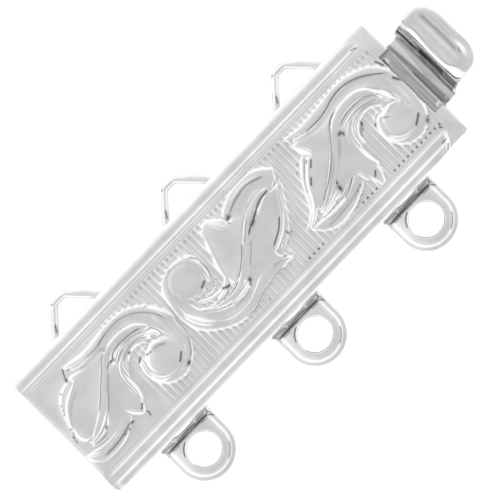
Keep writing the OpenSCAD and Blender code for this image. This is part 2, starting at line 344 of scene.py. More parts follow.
class Stamp:
    # A stretch of surface: places, heights, how much painted shade it carries and, on the relief, the
    # hatch's beat
    def __init__(self, gx, gy, gz=None, paintedShading=None, beat=0):
        self.gx, self.gy, self.beat = gx, gy, beat
        self.gz = np.zeros(gx.shape) if gz is None else gz
        self.paintedShading = np.zeros(gx.shape) if paintedShading is None else paintedShading

    def lay(self, top, w):
        self.gz += (top - self.gz) * w
        self.paintedShading *= 1 - w

    def band(self, rows, heights, soft=(0.12, 0.12)):
        # Lays a strip over what is there. Rows: x, y, half width. Heights and edge widths run left to right.
        signed, d, _, extra = nearLine(self.gx, self.gy, smoothRows(rows))
        half = np.maximum(extra[..., 0], 1e-3)
        t = np.clip(signed / half, -1, 1)
        left, mid, right = heights
        edge = np.where(signed > 0, soft[0], soft[1])
        self.lay(mid + (left - right) / 2 * t + ((left + right) / 2 - mid) * t * t,
                 easy((half + edge / 2 - d) / edge))

    def facet(self, rows, left, right, soft=0.04):
        # Lays an evenly sloping face that stands on its low edge
        signed, d, _, extra = nearLine(self.gx, self.gy, smoothRows(rows))
        half = np.maximum(extra[..., 0], 1e-3)
        rate = abs(left - right) / (2 * max(row[2] for row in rows))
        climb = half + signed * np.sign(left - right)
        self.lay(min(left, right) + rate * np.clip(climb, 0, 2 * half), easy((half + soft / 2 - d) / soft))

    def field(self, outline, high, soft):
        # Lays a flat area over what is there
        d = insideOf(self.gx, self.gy, smoothRows(outline, 4))
        self.lay(high, easy((d + soft / 2) / soft))

    def crease(self, rows, rise, width):
        # Adds a narrow ridge, or a groove where rise is negative
        _, d, along, _ = nearLine(self.gx, self.gy, smoothRows(rows))
        self.gz += rise * stroke(d, along, width, 0.15)

    def shade(self, rows, dark, width, fade=0.1, off=None):
        # Painted shade along a fold, or painted shade dots where the hatch comes to a distance off from a
        # strip's left edge
        signed, d, along, extra = nearLine(self.gx, self.gy, smoothRows(rows))
        if off is not None:
            d = abs(signed - extra[..., 0] - off)
            dark = dark * self.beat
        # A little uneven from place to place
        uneven = 0.96 + 0.04 * np.sin(26 * self.gx + 19 * self.gy + 3 * np.sin(4 * self.gy))
        self.paintedShading = np.maximum(self.paintedShading, dark * uneven * stroke(d, along, width, fade))

    def tint(self, rows, dark, width):
        # Draws a line of another painted tone over what is there, darker for painted shade, lighter for
        # painted highlight
        _, d, along, _ = nearLine(self.gx, self.gy, smoothRows(rows))
        self.paintedShading += (dark - self.paintedShading) * stroke(d, along, width, 0.1)

    def paintTone(self, outline, dark, soft):
        # Gives an area another painted tone, darker for painted shade, lighter for painted highlight
        d = insideOf(self.gx, self.gy, np.array(outline))
        self.paintedShading += (dark - self.paintedShading) * easy((d + soft / 2) / soft)

    def dent(self, at, size, deep, turn, dark):
        # Presses an oval spot and paints shade in it
        c, s = np.cos(np.radians(turn)), np.sin(np.radians(turn))
        a = ((self.gx - at[0]) * c + (self.gy - at[1]) * s) / size[0]
        b = ((self.gy - at[1]) * c - (self.gx - at[0]) * s) / size[1]
        spot = np.exp(-(a * a + b * b))
        self.gz += deep * spot
        self.paintedShading = np.maximum(self.paintedShading, dark * spot)


# Points of the scroll motif round its eye, in hundredths of a millimetre, read from the photograph.
# Strips have a third column, their half width. The other two motifs change what differs in them.
# Before a row of points stand the two heights of a face, a line's rise and half width, or a painted
# shade line's strength and half width. A spot, pressed and painted with shade: place, half axes, how dark,
# and its turn in degrees.
motifBase = {
    "disc": (8, -12, 112),
    "leafLeft": [(-555, 340), (-542, 290), (-530, 240), (-570, 190), (-630, 125), (-680, 45), (-720, -40),
        (-640, -10), (-550, 50), (-470, 115), (-390, 190), (-320, 265), (-230, 315), (-300, 325),
        (-420, 320), (-490, 335)],
    "leafRight": [(-600, -50), (-530, 0), (-460, 50), (-390, 120), (-330, 185), (-250, 210), (-298, 130),
        (-310, 40), (-302, -50), (-290, -110), (-300, -170), (-340, -220), (-355, -175), (-372, -120),
        (-398, -48), (-450, -55), (-520, -75), (-580, -85)],
    "faces": [
        (17, 0, (-570, 350, 5), (-557, 312, 12), (-542, 276, 18), (-526, 240, 21)),
        (17, 0, (-408, -50, 4), (-400, -85, 13), (-388, -120, 11), (-377, -145, 3)),
        (9, 16, (-730, -92, 3), (-680, -82, 9), (-620, -68, 12), (-565, -54, 10)),
        (7, 26, (-8, 238, 4), (19, 200, 14), (38, 162, 20), (49, 125, 19), (54, 98, 6)),
        (7, 20, (-114, -35, 3), (-98, -70, 12), (-68, -100, 12), (-25, -117, 9), (30, -119, 6),
         (85, -97, 3))],
    "leafRidge": [(-280, -100, 10), (-300, -30, 16), (-302, 40, 17), (-294, 100, 17), (-270, 150, 15),
        (-230, 186, 10)],
    "lobe": [(-830, -95), (-760, -100), (-660, -112), (-560, -108), (-480, -80), (-405, -50), (-398, -90),
        (-426, -128), (-490, -158), (-560, -185), (-650, -200), (-730, -188), (-790, -150)],
    "edgeInner": [(-530, 230, 8), (-600, 168, 13), (-660, 95, 14), (-705, 10, 13), (-760, -50, 10),
        (-820, -85, 6)],
    "edgeOuter": [(-575, 242, 10), (-635, 175, 15), (-690, 90, 16), (-740, -5, 14), (-800, -55, 10),
        (-850, -80, 6)],
    "vein": [(-710, -62, 8), (-630, -35, 18), (-550, 13, 25), (-460, 82, 27), (-380, 157, 27),
        (-320, 220, 27), (-260, 260, 27), (-195, 279, 26), (-130, 282, 26), (-70, 270, 26),
        (-22, 240, 22), (5, 215, 10)],
    "ribs": [
        [(-300, 202, 5), (-240, 230, 10), (-175, 242, 11), (-110, 240, 11), (-50, 222, 11), (0, 188, 10),
         (35, 150, 7)],
        [(-290, 180, 5), (-240, 210, 10), (-175, 223, 10), (-110, 220, 10), (-50, 200, 10), (0, 166, 10),
         (36, 125, 7), (70, 85, 4)],
        [(-275, 40, 5), (-266, 110, 10), (-232, 168, 12), (-175, 195, 11), (-110, 198, 10),
         (-50, 176, 10), (0, 142, 8), (40, 100, 5)],
        [(-250, 40, 5), (-242, 95, 10), (-205, 148, 12), (-150, 172, 11), (-95, 174, 10), (-40, 150, 8),
         (0, 115, 6)]],
    "hook": [(-530, 350, 8), (-450, 320, 16), (-360, 310, 24), (-280, 320, 26), (-200, 334, 28),
        (-130, 337, 30), (-60, 327, 32), (-5, 302, 34), (40, 262, 34), (75, 210, 30), (98, 155, 28),
        (110, 100, 24), (110, 50, 20), (105, 10, 16)],
    "outer": [(-580, 400, 4), (-520, 386, 12), (-450, 370, 22), (-370, 367, 28), (-290, 374, 27),
        (-210, 387, 23), (-130, 393, 21), (-60, 386, 22), (5, 363, 25), (65, 326, 30), (110, 276, 32),
        (140, 215, 28), (150, 140, 24), (150, 60, 23), (144, -10, 24), (130, -70, 26), (95, -120, 27),
        (42, -150, 24), (-15, -148, 23), (-68, -130, 20), (-108, -85, 16), (-120, -35, 16),
        (-115, 15, 17), (-100, 55, 14), (-76, 82, 8)],
    "whites": [
        (3, 7, (-575, 397), (-520, 355), (-460, 338), (-410, 336)),
        (2, 6, (-560, 375), (-490, 330), (-410, 316), (-340, 322), (-260, 338), (-190, 357), (-130, 362),
         (-60, 352), (0, 330)),
        (2, 6, (-525, -20), (-485, -6), (-460, 17), (-475, 24)),
        (3, 8, (-820, -110), (-740, -120), (-660, -128), (-570, -125), (-510, -108), (-450, -78)),
        (3, 10, (-740, -185), (-650, -184), (-560, -178), (-490, -153), (-430, -124)),
        (4, 7, (-32, 67), (-3, 78), (33, 81), (62, 67)),
        (3, 8, (-75, -156), (-25, -168), (26, -174), (80, -160)),
        (3, 6, (-135, 60), (-100, 100), (-50, 112), (0, 95)),
        (3, 6, (-90, 150), (-50, 142), (-10, 112))],
    "darks": [
        (95, 4.5, (-470, 342), (-405, 337), (-333, 336), (-261, 348), (-190, 368), (-118, 372),
         (-46, 360), (26, 328), (97, 273), (150, 225)),
        (40, 4, (-100, 363), (-46, 350), (20, 320), (80, 275)),
        (95, 4.5, (-715, -62), (-620, -7), (-548, 37), (-476, 92), (-405, 162), (-355, 220), (-311, 268),
         (-268, 292), (-220, 302)),
        (25, 5, (-690, -70), (-620, -30), (-548, 16), (-476, 72), (-410, 140)),
        (35, 5, (-440, 62), (-376, 125), (-333, 173)),
        (30, 4, (-410, 75), (-360, 128), (-325, 162)),
        (70, 4, (-285, 210), (-233, 231), (-175, 241), (-118, 240), (-60, 231), (-10, 202), (30, 168)),
        (50, 4, (-240, 173), (-190, 202), (-146, 206), (-96, 200), (-46, 185), (-3, 162)),
        (50, 4, (-205, 170), (-150, 186), (-82, 184), (-25, 154), (26, 118), (65, 86)),
        (60, 6, (-233, 74), (-215, 105), (-190, 130)),
        (90, 5, (-565, -113), (-505, -91), (-438, -50)),
        (40, 6, (-760, -150), (-692, -160), (-620, -156), (-548, -149), (-476, -132), (-435, -115)),
        (25, 4, (-720, -138), (-620, -142), (-530, -130)),
        (50, 4.5, (-550, 242), (-600, 195), (-656, 140), (-700, 60)),
        (90, 6, (-535, 202), (-555, 184), (-578, 162)),
        (90, 6, (-610, 128), (-630, 108), (-650, 86)),
        (100, 6, (-346, -155), (-330, -138), (-313, -122)),
        (100, 7, (38, -115), (69, -97), (110, -68)),
        (90, 5, (-134, 62), (-120, 75)),
        (100, 6.5, (136, 342), (150, 310), (160, 275)),
        (100, 7.5, (144, 195), (160, 165), (182, 130))],
    "spots": [
        (-310, 184, 19, 11, 100, 15), (-296, 170, 9, 14, 100, 0), (-538, -46, 12, 23, 100, -10),
        (-528, -12, 7, 14, 100, -30), (-179, 132, 9, 18, 100, -25), (-198, 106, 7, 14, 80, -35),
        (-58, 58, 8, 5, 90, -20), (-42, 46, 8, 5, 90, -30), (83, 46, 5, 5, 60, 0),
        (110, -140, 24, 11, 100, 50), (128, -125, 14, 8, 80, 40), (-477, -133, 10, 5, 90, 20),
        (-444, -121, 7, 5, 90, 20), (-548, -198, 10, 5, 70, 20), (-512, -183, 9, 5, 70, 20),
        (-477, -168, 8, 5, 70, 20), (-655, 205, 9, 4, 80, 50), (-620, 240, 8, 4, 80, 45)],
}


# The middle motif: its petal ends short of the border, and a deep fold along its vein is painted dark with
# shade
motifMiddle = {
    "disc": (2, -12, 112),
    "leafLeft": [(-775, -20), (-735, 38), (-699, 90), (-671, 133), (-613, 185), (-556, 221), (-506, 243),
        (-500, 280), (-520, 313), (-463, 305), (-405, 298), (-348, 302), (-290, 316), (-260, 250),
        (-320, 190), (-380, 140), (-440, 85), (-500, 50), (-570, 15), (-640, -15), (-710, -30)],
    "leafRight": [(-298, -177), (-341, -177), (-362, -159), (-410, -115), (-420, -75), (-460, -75),
        (-500, -65), (-560, -50), (-460, 20), (-390, 80), (-330, 140), (-260, 190), (-200, 210),
        (-190, 160), (-187, 82), (-208, 16), (-233, -49), (-251, -100), (-265, -152)],
    "faces": [
        (22, 7, (33, 297, 4), (73, 264, 14), (107, 214, 17), (134, 157, 14), (143, 110, 4)),
        (20, 5, (-260, 270, 10), (-200, 282, 13), (-150, 284, 11), (-110, 280, 3)),
        (20, 6, (-150, 188, 6), (-100, 202, 12), (-40, 208, 10), (-10, 205, 3)),
        (6, 15, (-330, -172, 6), (-360, -130, 20), (-390, -80, 22), (-405, -40, 8)),
        (0, 9, (-564, 342, 4), (-563, 315, 7), (-560, 290, 4)),
        (10, 5, (-138, -70, 4), (-120, -100, 9), (-85, -125, 9), (-40, -140, 5), (10, -144, 3))],
    "lobe": [(-836, -115), (-800, -152), (-764, -177), (-706, -199), (-635, -203), (-563, -196),
        (-506, -177), (-455, -152), (-425, -123), (-450, -85), (-500, -40), (-580, -10), (-680, -20),
        (-750, -35), (-810, -60)],
    "edgeInner": [(-785, -20, 6), (-742, 40, 12), (-695, 110, 12), (-630, 178, 12), (-570, 216, 10),
        (-510, 242, 7)],
    "edgeOuter": [(-825, -35, 4), (-790, 5, 12), (-730, 90, 16), (-660, 185, 16), (-590, 240, 16),
        (-545, 270, 10)],
    "leafRidge": [(-272, -150, 5), (-258, -100, 9), (-238, -40, 9), (-216, 20, 9), (-198, 80, 8),
        (-185, 130, 5)],
    "vein": [(-725, -52, 5), (-660, -55, 17), (-590, -32, 22), (-530, 0, 24), (-460, 50, 24),
        (-400, 105, 26), (-340, 160, 27), (-280, 208, 26), (-220, 238, 20), (-160, 250, 14),
        (-100, 246, 10), (-40, 230, 6)],
    "ribs": [
        [(-240, 295, 5), (-180, 308, 12), (-120, 312, 12), (-60, 300, 10), (-10, 275, 6)],
        [(-240, 255, 5), (-180, 264, 10), (-120, 264, 10), (-60, 250, 10), (0, 220, 8), (50, 180, 5)],
        [(-190, 90, 5), (-185, 140, 10), (-150, 175, 12), (-90, 180, 10), (-30, 170, 10), (30, 135, 6)]],
    "hook": [(-330, 285, 6), (-260, 305, 14), (-200, 322, 20), (-130, 326, 25), (-70, 312, 28),
        (-10, 285, 30), (45, 240, 30), (80, 185, 28), (102, 120, 24), (108, 60, 20), (105, 10, 16)],
    "outer": [(-556, 350, 3), (-520, 336, 12), (-477, 330, 23), (-405, 327, 28), (-333, 333, 30),
        (-260, 352, 28), (-204, 372, 26), (-133, 381, 26), (-75, 375, 26), (-20, 357, 26), (30, 327, 26),
        (80, 287, 28), (120, 240, 28), (147, 185, 25), (158, 120, 23), (152, 50, 22), (142, -10, 22),
        (122, -70, 22), (86, -110, 20), (40, -132, 15), (-10, -136, 13), (-60, -123, 13), (-98, -90, 15),
        (-117, -40, 18), (-120, 5, 17), (-115, 45, 13), (-100, 80, 7)],
    "whites": [
        (2.5, 7, (-30, 325), (-75, 349), (-133, 355), (-204, 349), (-247, 335), (-290, 316), (-348, 302),
         (-405, 298), (-463, 305), (-506, 316)),
        (2.5, 6, (-556, 350), (-500, 330), (-440, 322), (-380, 320)),
        (3, 6, (-47, 230), (-97, 239), (-169, 239), (-233, 218), (-298, 180), (-362, 125)),
        (3, 7, (-390, 90), (-430, 55), (-491, 2), (-549, -42), (-613, -73), (-671, -80), (-714, -64)),
        (6, 6, (-580, 28), (-630, 4), (-672, -14), (-700, -23)),
        (3, 7, (-445, 93), (-462, 88), (-480, 78)),
        (3, 7, (-510, -145), (-563, -157), (-620, -165), (-678, -160), (-760, -130)),
        (3, 6, (-600, -136), (-650, -138), (-700, -134)),
        (3, 7, (-505, 250), (-512, 280), (-530, 310), (-550, 335)),
        (3, 5, (10, -123), (-32, -119), (-68, -100), (-95, -64)),
        (4, 8, (-5, 130), (-35, 145), (-80, 148), (-120, 126), (-135, 105)),
        (4, 7, (10, 108), (-30, 105), (-45, 93))],
    "darks": [
        (80, 4.5, (-80, 403), (-169, 406), (-226, 391), (-276, 375), (-333, 364), (-391, 355),
         (-434, 353), (-485, 355)),
        (50, 4, (-430, 310), (-480, 315), (-530, 335)),
        (90, 4.5, (-226, 210), (-276, 181), (-326, 141), (-362, 108), (-398, 71)),
        (40, 4, (-260, 205), (-312, 166), (-362, 125), (-420, 75), (-477, 24), (-520, -5)),
        (50, 4, (-391, 82), (-448, 24), (-491, -13), (-563, -57), (-599, -75)),
        (100, 6, (-450, 78), (-491, 49), (-541, 24), (-606, -12), (-663, -33), (-706, -38), (-730, -42)),
        (100, 11, (-500, 44), (-530, 30), (-560, 14), (-600, -8)),
        (50, 4.5, (-333, 207), (-391, 155), (-448, 100)),
        (60, 5, (-25, 223), (-97, 221), (-145, 213)),
        (100, 7, (-120, 172), (-142, 188), (-178, 192)),
        (25, 8, (-100, 310), (-169, 313), (-240, 302)),
        (75, 5, (-460, -100), (-506, -123), (-563, -141), (-620, -150), (-678, -148), (-735, -130),
         (-770, -116)),
        (100, 5, (-510, 227), (-577, 193), (-620, 166), (-672, 115)),
        (35, 5, (-690, 135), (-730, 75), (-770, 15), (-800, -20)),
        (100, 7, (-33, 87), (-60, 77), (-86, 62)),
        (50, 6, (-138, -40), (-142, 10), (-133, 50), (-110, 85))],
    "spots": [
        (-276, 262, 17, 13, 100, 45), (-262, 282, 7, 13, 100, -20), (-155, 193, 18, 10, 100, 0),
        (-536, 30, 32, 12, 100, 32), (-445, -95, 22, 15, 100, 20), (-428, -68, 5, 12, 90, 30),
        (-631, 225, 5, 16, 100, 10), (-650, 237, 6, 5, 80, 0), (-592, 266, 10, 5, 70, 0),
        (-520, 316, 9, 4, 80, -15), (-280, -166, 8, 4, 90, -50), (-68, 133, 5, 5, 90, 0),
        (-102, 128, 6, 5, 100, 30), (-113, 112, 5, 5, 90, 0), (-135, 110, 5, 5, 90, 0),
        (-420, 108, 7, 4, 50, -40), (-398, 144, 7, 4, 50, -40), (7, -155, 5, 4, 80, 0),
        (-30, -155, 5, 4, 80, 0)],
}


# The motif at the closed end: a broader leaf with a deep nick at its tip, and a wide outer curve
motifClosed = {
    "disc": (19, -5, 118),
    "leafLeft": [(-480, 330), (-479, 286), (-508, 266), (-550, 244), (-594, 218), (-630, 182),
        (-658, 138), (-680, 90), (-690, 30), (-660, -15), (-590, 0), (-520, 40), (-450, 90), (-390, 150),
        (-330, 200), (-270, 260), (-230, 295), (-290, 305), (-370, 305), (-430, 320)],
    "leafRight": [(-510, -35), (-460, 20), (-410, 65), (-360, 115), (-310, 160), (-240, 200), (-220, 180),
        (-258, 120), (-267, 50), (-266, -20), (-262, -50), (-275, -100), (-310, -145), (-340, -115),
        (-370, -75), (-390, -50), (-440, -65), (-500, -90), (-560, -90), (-630, -80), (-660, -60),
        (-580, -50)],
    "faces": [
        (17, 0, (-390, -50, 3), (-365, -85, 12), (-335, -120, 11), (-310, -146, 3)),
        (7, 21, (20, 176, 5), (45, 168, 18), (70, 148, 18), (86, 122, 5)),
        (7, 22, (-113, -8, 3), (-106, -46, 12), (-85, -78, 14), (-50, -97, 10), (5, -107, 7),
         (60, -98, 3)),
        (2, 18, (142, 298, 3), (168, 260, 13), (195, 210, 18), (213, 160, 14), (220, 120, 4)),
        (2, 11, (-650, -48, 4), (-610, -58, 7), (-570, -56, 7), (-540, -46, 4)),
        (10, 1, (-497, 320, 4), (-550, 308, 10), (-600, 280, 11), (-635, 240, 10), (-660, 190, 8),
         (-680, 130, 6), (-698, 80, 3)),
        (17, 3, (-740, -84, 3), (-712, -106, 8), (-676, -125, 8), (-640, -138, 3))],
    "lobe": [(-744, -78), (-694, -85), (-644, -98), (-579, -106), (-515, -98), (-457, -77), (-414, -56),
        (-386, -50), (-370, -85), (-390, -115), (-430, -142), (-472, -166), (-529, -184), (-600, -188),
        (-672, -178), (-710, -150), (-735, -110)],
    "edgeInner": [(-475, 295, 5), (-508, 274, 10), (-550, 252, 12), (-594, 226, 12), (-630, 190, 11),
        (-660, 145, 10), (-685, 100, 6)],
    "edgeOuter": [(-495, 308, 6), (-550, 285, 20), (-600, 255, 24), (-635, 210, 22), (-660, 160, 16),
        (-682, 110, 10), (-705, 70, 5)],
    "leafRidge": [(-260, -70, 7), (-246, -10, 13), (-246, 50, 15), (-240, 100, 15), (-222, 142, 13),
        (-195, 172, 8)],
    "vein": [(-650, -40, 8), (-600, -25, 17), (-540, 2, 22), (-480, 38, 25), (-420, 88, 26),
        (-360, 143, 26), (-300, 198, 26), (-240, 248, 26), (-190, 272, 26), (-130, 280, 26),
        (-70, 278, 26), (-10, 262, 24), (35, 235, 20), (65, 205, 8)],
    "ribs": [
        [(-200, 220, 5), (-160, 240, 10), (-110, 245, 10), (-50, 242, 10), (10, 225, 9), (50, 202, 5)],
        [(-200, 190, 5), (-160, 210, 10), (-110, 222, 10), (-50, 222, 10), (5, 205, 10), (40, 180, 6)],
        [(-220, 80, 5), (-208, 140, 10), (-170, 180, 12), (-115, 200, 11), (-60, 202, 10), (-10, 185, 10),
         (28, 152, 6)],
        [(-195, 80, 4), (-185, 125, 9), (-150, 162, 11), (-100, 180, 10), (-50, 178, 9), (-5, 155, 5)]],
    "hook": [(-430, 350, 6), (-370, 322, 14), (-290, 315, 20), (-210, 325, 20), (-140, 333, 24),
        (-70, 335, 26), (-10, 322, 28), (40, 295, 32), (85, 250, 34), (115, 200, 34), (135, 140, 30),
        (145, 80, 24), (145, 30, 20), (135, -10, 14)],
    "outer": [(-466, 395, 3), (-420, 380, 15), (-350, 362, 20), (-285, 360, 20), (-213, 364, 21),
        (-141, 375, 20), (-69, 379, 19), (2, 371, 20), (50, 350, 22), (95, 317, 26), (135, 275, 30),
        (165, 225, 30), (185, 165, 28), (188, 100, 23), (186, 40, 23), (172, -20, 23), (147, -67, 23),
        (112, -102, 24), (73, -126, 23), (28, -138, 21), (-20, -136, 19), (-65, -120, 17),
        (-100, -85, 15), (-122, -40, 14), (-128, 5, 13), (-122, 45, 10), (-108, 78, 5)],
    "whites": [
        (2.5, 6, (-450, 385), (-386, 360), (-328, 346), (-271, 346), (-206, 352)),
        (2.5, 6, (-436, 356), (-414, 332), (-350, 326), (-271, 326), (-206, 332), (-140, 346), (-70, 352),
         (-10, 346), (40, 326), (80, 295)),
        (3, 5, (-472, 381), (-485, 345), (-482, 308), (-479, 288)),
        (3, 6, (-360, 133), (-414, 76), (-457, 36), (-500, 10), (-543, -19)),
        (2, 5, (-185, 228), (-120, 240), (-60, 240), (0, 228)),
        (3, 6, (-105, 184), (-70, 184), (-41, 172)),
        (3, 8, (-91, 111), (-48, 128), (-5, 131)),
        (3, 8, (-15, 120), (30, 98), (70, 68)),
        (4, 7, (-5, -160), (31, -163), (67, -153)),
        (2, 5, (-69, -116), (0, -130), (60, -126)),
        (3, 12, (124, 235), (144, 170), (148, 96), (145, 23), (120, -40)),
        (3, 7, (-672, -171), (-600, -176), (-529, -172), (-472, -158)),
        (3, 6, (-650, -142), (-579, -138), (-515, -130), (-457, -116), (-410, -98))],
    "darks": [
        (55, 4.5, (-350, 340), (-290, 336), (-220, 339), (-166, 353), (-84, 361), (-26, 357), (31, 339),
         (74, 313), (110, 280), (146, 235), (167, 191), (182, 140)),
        (80, 4.5, (-230, 338), (-166, 353), (-140, 357)),
        (25, 9, (-414, 314), (-350, 304), (-278, 304), (-206, 315)),
        (85, 4.5, (-510, 43), (-457, 83), (-421, 116), (-371, 163), (-314, 215), (-263, 262),
         (-220, 286)),
        (50, 5, (-460, 10), (-428, 38), (-392, 78), (-356, 117), (-320, 152), (-285, 188)),
        (90, 4.5, (-295, 182), (-260, 210), (-220, 217), (-205, 233), (-184, 244), (-126, 252),
         (-55, 249), (2, 238), (38, 225)),
        (70, 4, (-213, 177), (-177, 202), (-130, 218)),
        (35, 4, (-140, 233), (-80, 234), (-10, 220), (30, 198)),
        (60, 4.5, (-184, 155), (-155, 177), (-112, 193), (-55, 197), (-12, 183), (24, 155)),
        (60, 5, (-195, 75), (-182, 110), (-160, 145)),
        (100, 5, (-126, 83), (-105, 100), (-85, 115)),
        (100, 6, (52, -90), (80, -70), (110, -44)),
        (65, 5, (212, 130), (210, 40), (186, -34), (150, -87), (110, -120)),
        (45, 7, (-10, 84), (35, 75), (78, 50)),
        (100, 5.5, (-307, -122), (-290, -107), (-272, -92)),
        (90, 5, (-294, -142), (-287, -162), (-295, -186)),
        (75, 6, (-670, -155), (-579, -158), (-515, -152), (-457, -139), (-414, -128), (-380, -127)),
        (40, 4, (-735, -125), (-700, -165), (-630, -188), (-530, -190), (-460, -174)),
        (40, 5, (-660, -66), (-600, -75), (-540, -68)),
        (25, 7, (-490, 242), (-543, 226), (-600, 190), (-635, 150)),
        (100, 5, (-470, 404), (-486, 375), (-498, 348)),
        (50, 4, (-685, 120), (-700, 80), (-714, 40), (-720, 10))],
    "spots": [
        (-502, 334, 10, 18, 100, -15), (-450, 371, 9, 4, 80, 40), (-583, 297, 5, 7, 100, 0),
        (-633, 245, 4, 12, 90, -20), (-645, 218, 4, 10, 90, -20), (-657, 195, 6, 5, 100, 0),
        (-690, 107, 6, 6, 100, 0), (-710, 60, 6, 10, 100, 0), (-717, 30, 4, 10, 90, 0),
        (-650, -30, 5, 4, 80, 0), (-528, -42, 15, 8, 100, 45), (-235, 217, 17, 7, 100, 10),
        (-120, 173, 11, 7, 100, 0), (-51, 87, 8, 8, 100, 0), (-30, 83, 16, 6, 80, -5),
        (-8, 127, 7, 4, 90, 0), (90, -130, 20, 12, 100, 30), (-440, -148, 10, 6, 90, 15),
        (-400, -132, 16, 7, 100, 0), (-480, -152, 12, 5, 90, 10), (25, -174, 25, 4, 60, 0),
        (139, 298, 7, 5, 60, -45)],
}


# Layers of a motif. Strips: heights at left, middle and right, then the soft edges. Areas and the
# disc: height and soft edge. Painted shade dots at the outer strip: how dark, half width, fade, distance
# from it.
layerSet = {
    "edgeOuter": ((0.04, 0.05, 0.01), (0.12, 0.12)), "edgeInner": ((0.1, 0.11, 0.05), (0.12, 0.12)),
    "leafRidge": ((0.08, 0.11, 0.07), (0.14, 0.24)), "vein": ((0.12, 0.125, 0.09), (0.11, 0.1)),
    "hook": ((0.07, 0.05, 0.07), (0.1, 0.1)), "outer": ((0.075, 0.09, 0.08), (0.11, 0.12)),
    "leafLeft": (0.08, 0.12), "leafRight": (0.08, 0.15), "lobe": (0.07, 0.14), "disc": (0.085, 0.4),
    "ribLow": 0.05, "ribStep": 0.015, "ribSection": (0.02, 0.035, -0.02), "ribSoft": (0.08, 0.08),
    "dent": -0.015, "dots": (0.5, 0.05, 0.1, 0.05),
}


def inMm(values):
    return np.array(values) / 100


def drawMotif(p, m):
    s = layerSet

    def strips(*names):
        for name in names:
            p.band(inMm(m[name]), *s[name])

    strips("edgeOuter")
    for name in ("leafLeft", "leafRight", "lobe"):
        p.field(inMm(m[name]), *s[name])
    strips("edgeInner")
    for k, rows in enumerate(m["ribs"][::-1]):
        h = s["ribLow"] + s["ribStep"] * k
        p.band(inMm(rows), [h + v for v in s["ribSection"]], s["ribSoft"])
    strips("leafRidge", "vein")
    ex, ey, er = inMm(m["disc"])
    high, soft = s["disc"]
    p.lay(high, easy((er + soft / 2 - np.hypot(p.gx - ex, p.gy - ey)) / soft))
    strips("hook", "outer")
    for kind, draw in (("faces", p.facet), ("whites", p.crease), ("darks", p.shade)):
        for first, second, *rows in m[kind]:
            draw(inMm(rows), first / 100, second / 100)
    for *spot, turn in m["spots"]:
        x, y, a, b, dark = inMm(spot)
        p.dent((x, y), (a, b), s["dent"], turn, dark)
    p.shade(inMm(m["outer"]), *s["dots"])


# Where each motif's eye is, which way it is turned and what differs in it; then its reach along X
motifPlaces = [((-7.42, -1.0), 1, motifClosed), ((-3.24, 1.15), -1, motifMiddle), ((12.52, -1.07), 1, {})]
motifReach = (-9.2, 2.6)

# Painted shade dots where the hatch meets the rails: their lines, half widths, how dark the upper ones are,
# where the lower ones show, their beat along the hatch, and what counts as plain ground
dotSet = {"top": 3.02, "topWidth": 0.12, "topDark": 0.35, "foot": -3.12, "footWidth": 0.07,
          "shown": [(-0.5, -0.2), (2.6, 4.2), (7.4, 8.7), (10.0, 14.0)],
          "phase": 0.7, "beatFrom": 0.3, "beatSoft": 0.5, "plainBlur": 6, "plainHigh": 0.03,
          "plainSoft": 0.02}


def smear(gz, sigma):
    # Gaussian blur with the sigma in cells
    r = max(1, int(np.ceil(3 * sigma)))
    w = np.exp(-0.5 * (np.arange(-r, r + 1) / sigma) ** 2)
    w /= w.sum()
    for axis in (0, 1):
        padded = np.pad(gz, [(r, r) if a == axis else (0, 0) for a in (0, 1)], mode="edge")
        n = gz.shape[axis]
        gz = sum(w[k] * np.take(padded, np.arange(k, k + n), axis) for k in range(2 * r + 1))
    return gz


def reliefMap():
    s, dots = reliefSet, dotSet
    nx = int(round((s["x1"] - s["x0"]) / s["cell"])) + 1
    ny = int(round(2 * s["halfWidth"] / s["cell"])) + 1
    gx, gy = np.meshgrid(np.linspace(s["x0"], s["x1"], nx), np.linspace(-s["halfWidth"], s["halfWidth"], ny))
    begun = easy((gx - np.where(gy > 0, *s["hatchStart"])) / s["hatchFade"])
    turn = (gx / s["hatchPitch"]) % 1
    saw = np.where(turn < s["hatchRise"], turn / s["hatchRise"], (1 - turn) / (1 - s["hatchRise"]))
    gz, paintedShading = s["hatchHeight"] * (saw - 0.5) * begun, np.zeros(gx.shape)
    wave = np.cos(2 * np.pi * (gx / s["hatchPitch"] - dots["phase"]))
    beat = easy((wave - dots["beatFrom"]) / dots["beatSoft"]) * begun
    for (ex, ey), turn, changes in motifPlaces:
        lx, ly = turn * (gx - ex), turn * (gy - ey)
        cols = np.where((lx > motifReach[0]) & (lx < motifReach[1]))[1]
        c = slice(cols.min(), cols.max() + 1)
        p = Stamp(lx[:, c], ly[:, c], gz[:, c], paintedShading[:, c], beat[:, c])
        drawMotif(p, {**motifBase, **changes})
        gz[:, c], paintedShading[:, c] = p.gz, p.paintedShading
    top = np.exp(-((gy - dots["top"]) / dots["topWidth"]) ** 2) * dots["topDark"]
    shown = np.any([(gx > a) & (gx < b) for a, b in dots["shown"]], axis=0)
    foot = np.exp(-((gy - dots["foot"]) / dots["footWidth"]) ** 2) * shown
    plain = easy((dots["plainHigh"] - abs(smear(gz, dots["plainBlur"]))) / dots["plainSoft"])
    paintedShading = np.maximum(paintedShading, (top + foot) * beat * plain)
    sharp, broad = smear(gz, s["blur"] / s["cell"]), smear(gz, s["shoulder"] / s["cell"])
    # Painted shade where the metal lies lower than what is round it
    low = (smear(gz, s["hollow"] / s["cell"]) - sharp) / s["hollowDepth"]
    paintedShading = np.maximum(paintedShading, s["hollowDark"] * easy(low))
    swell = smear(gz, s["swell"] / s["cell"]) * s["swellShare"]
    gz = sharp + (broad - sharp) * s["shoulderShare"] + swell
    return gx, gy, gz + s["ground"], paintedShading


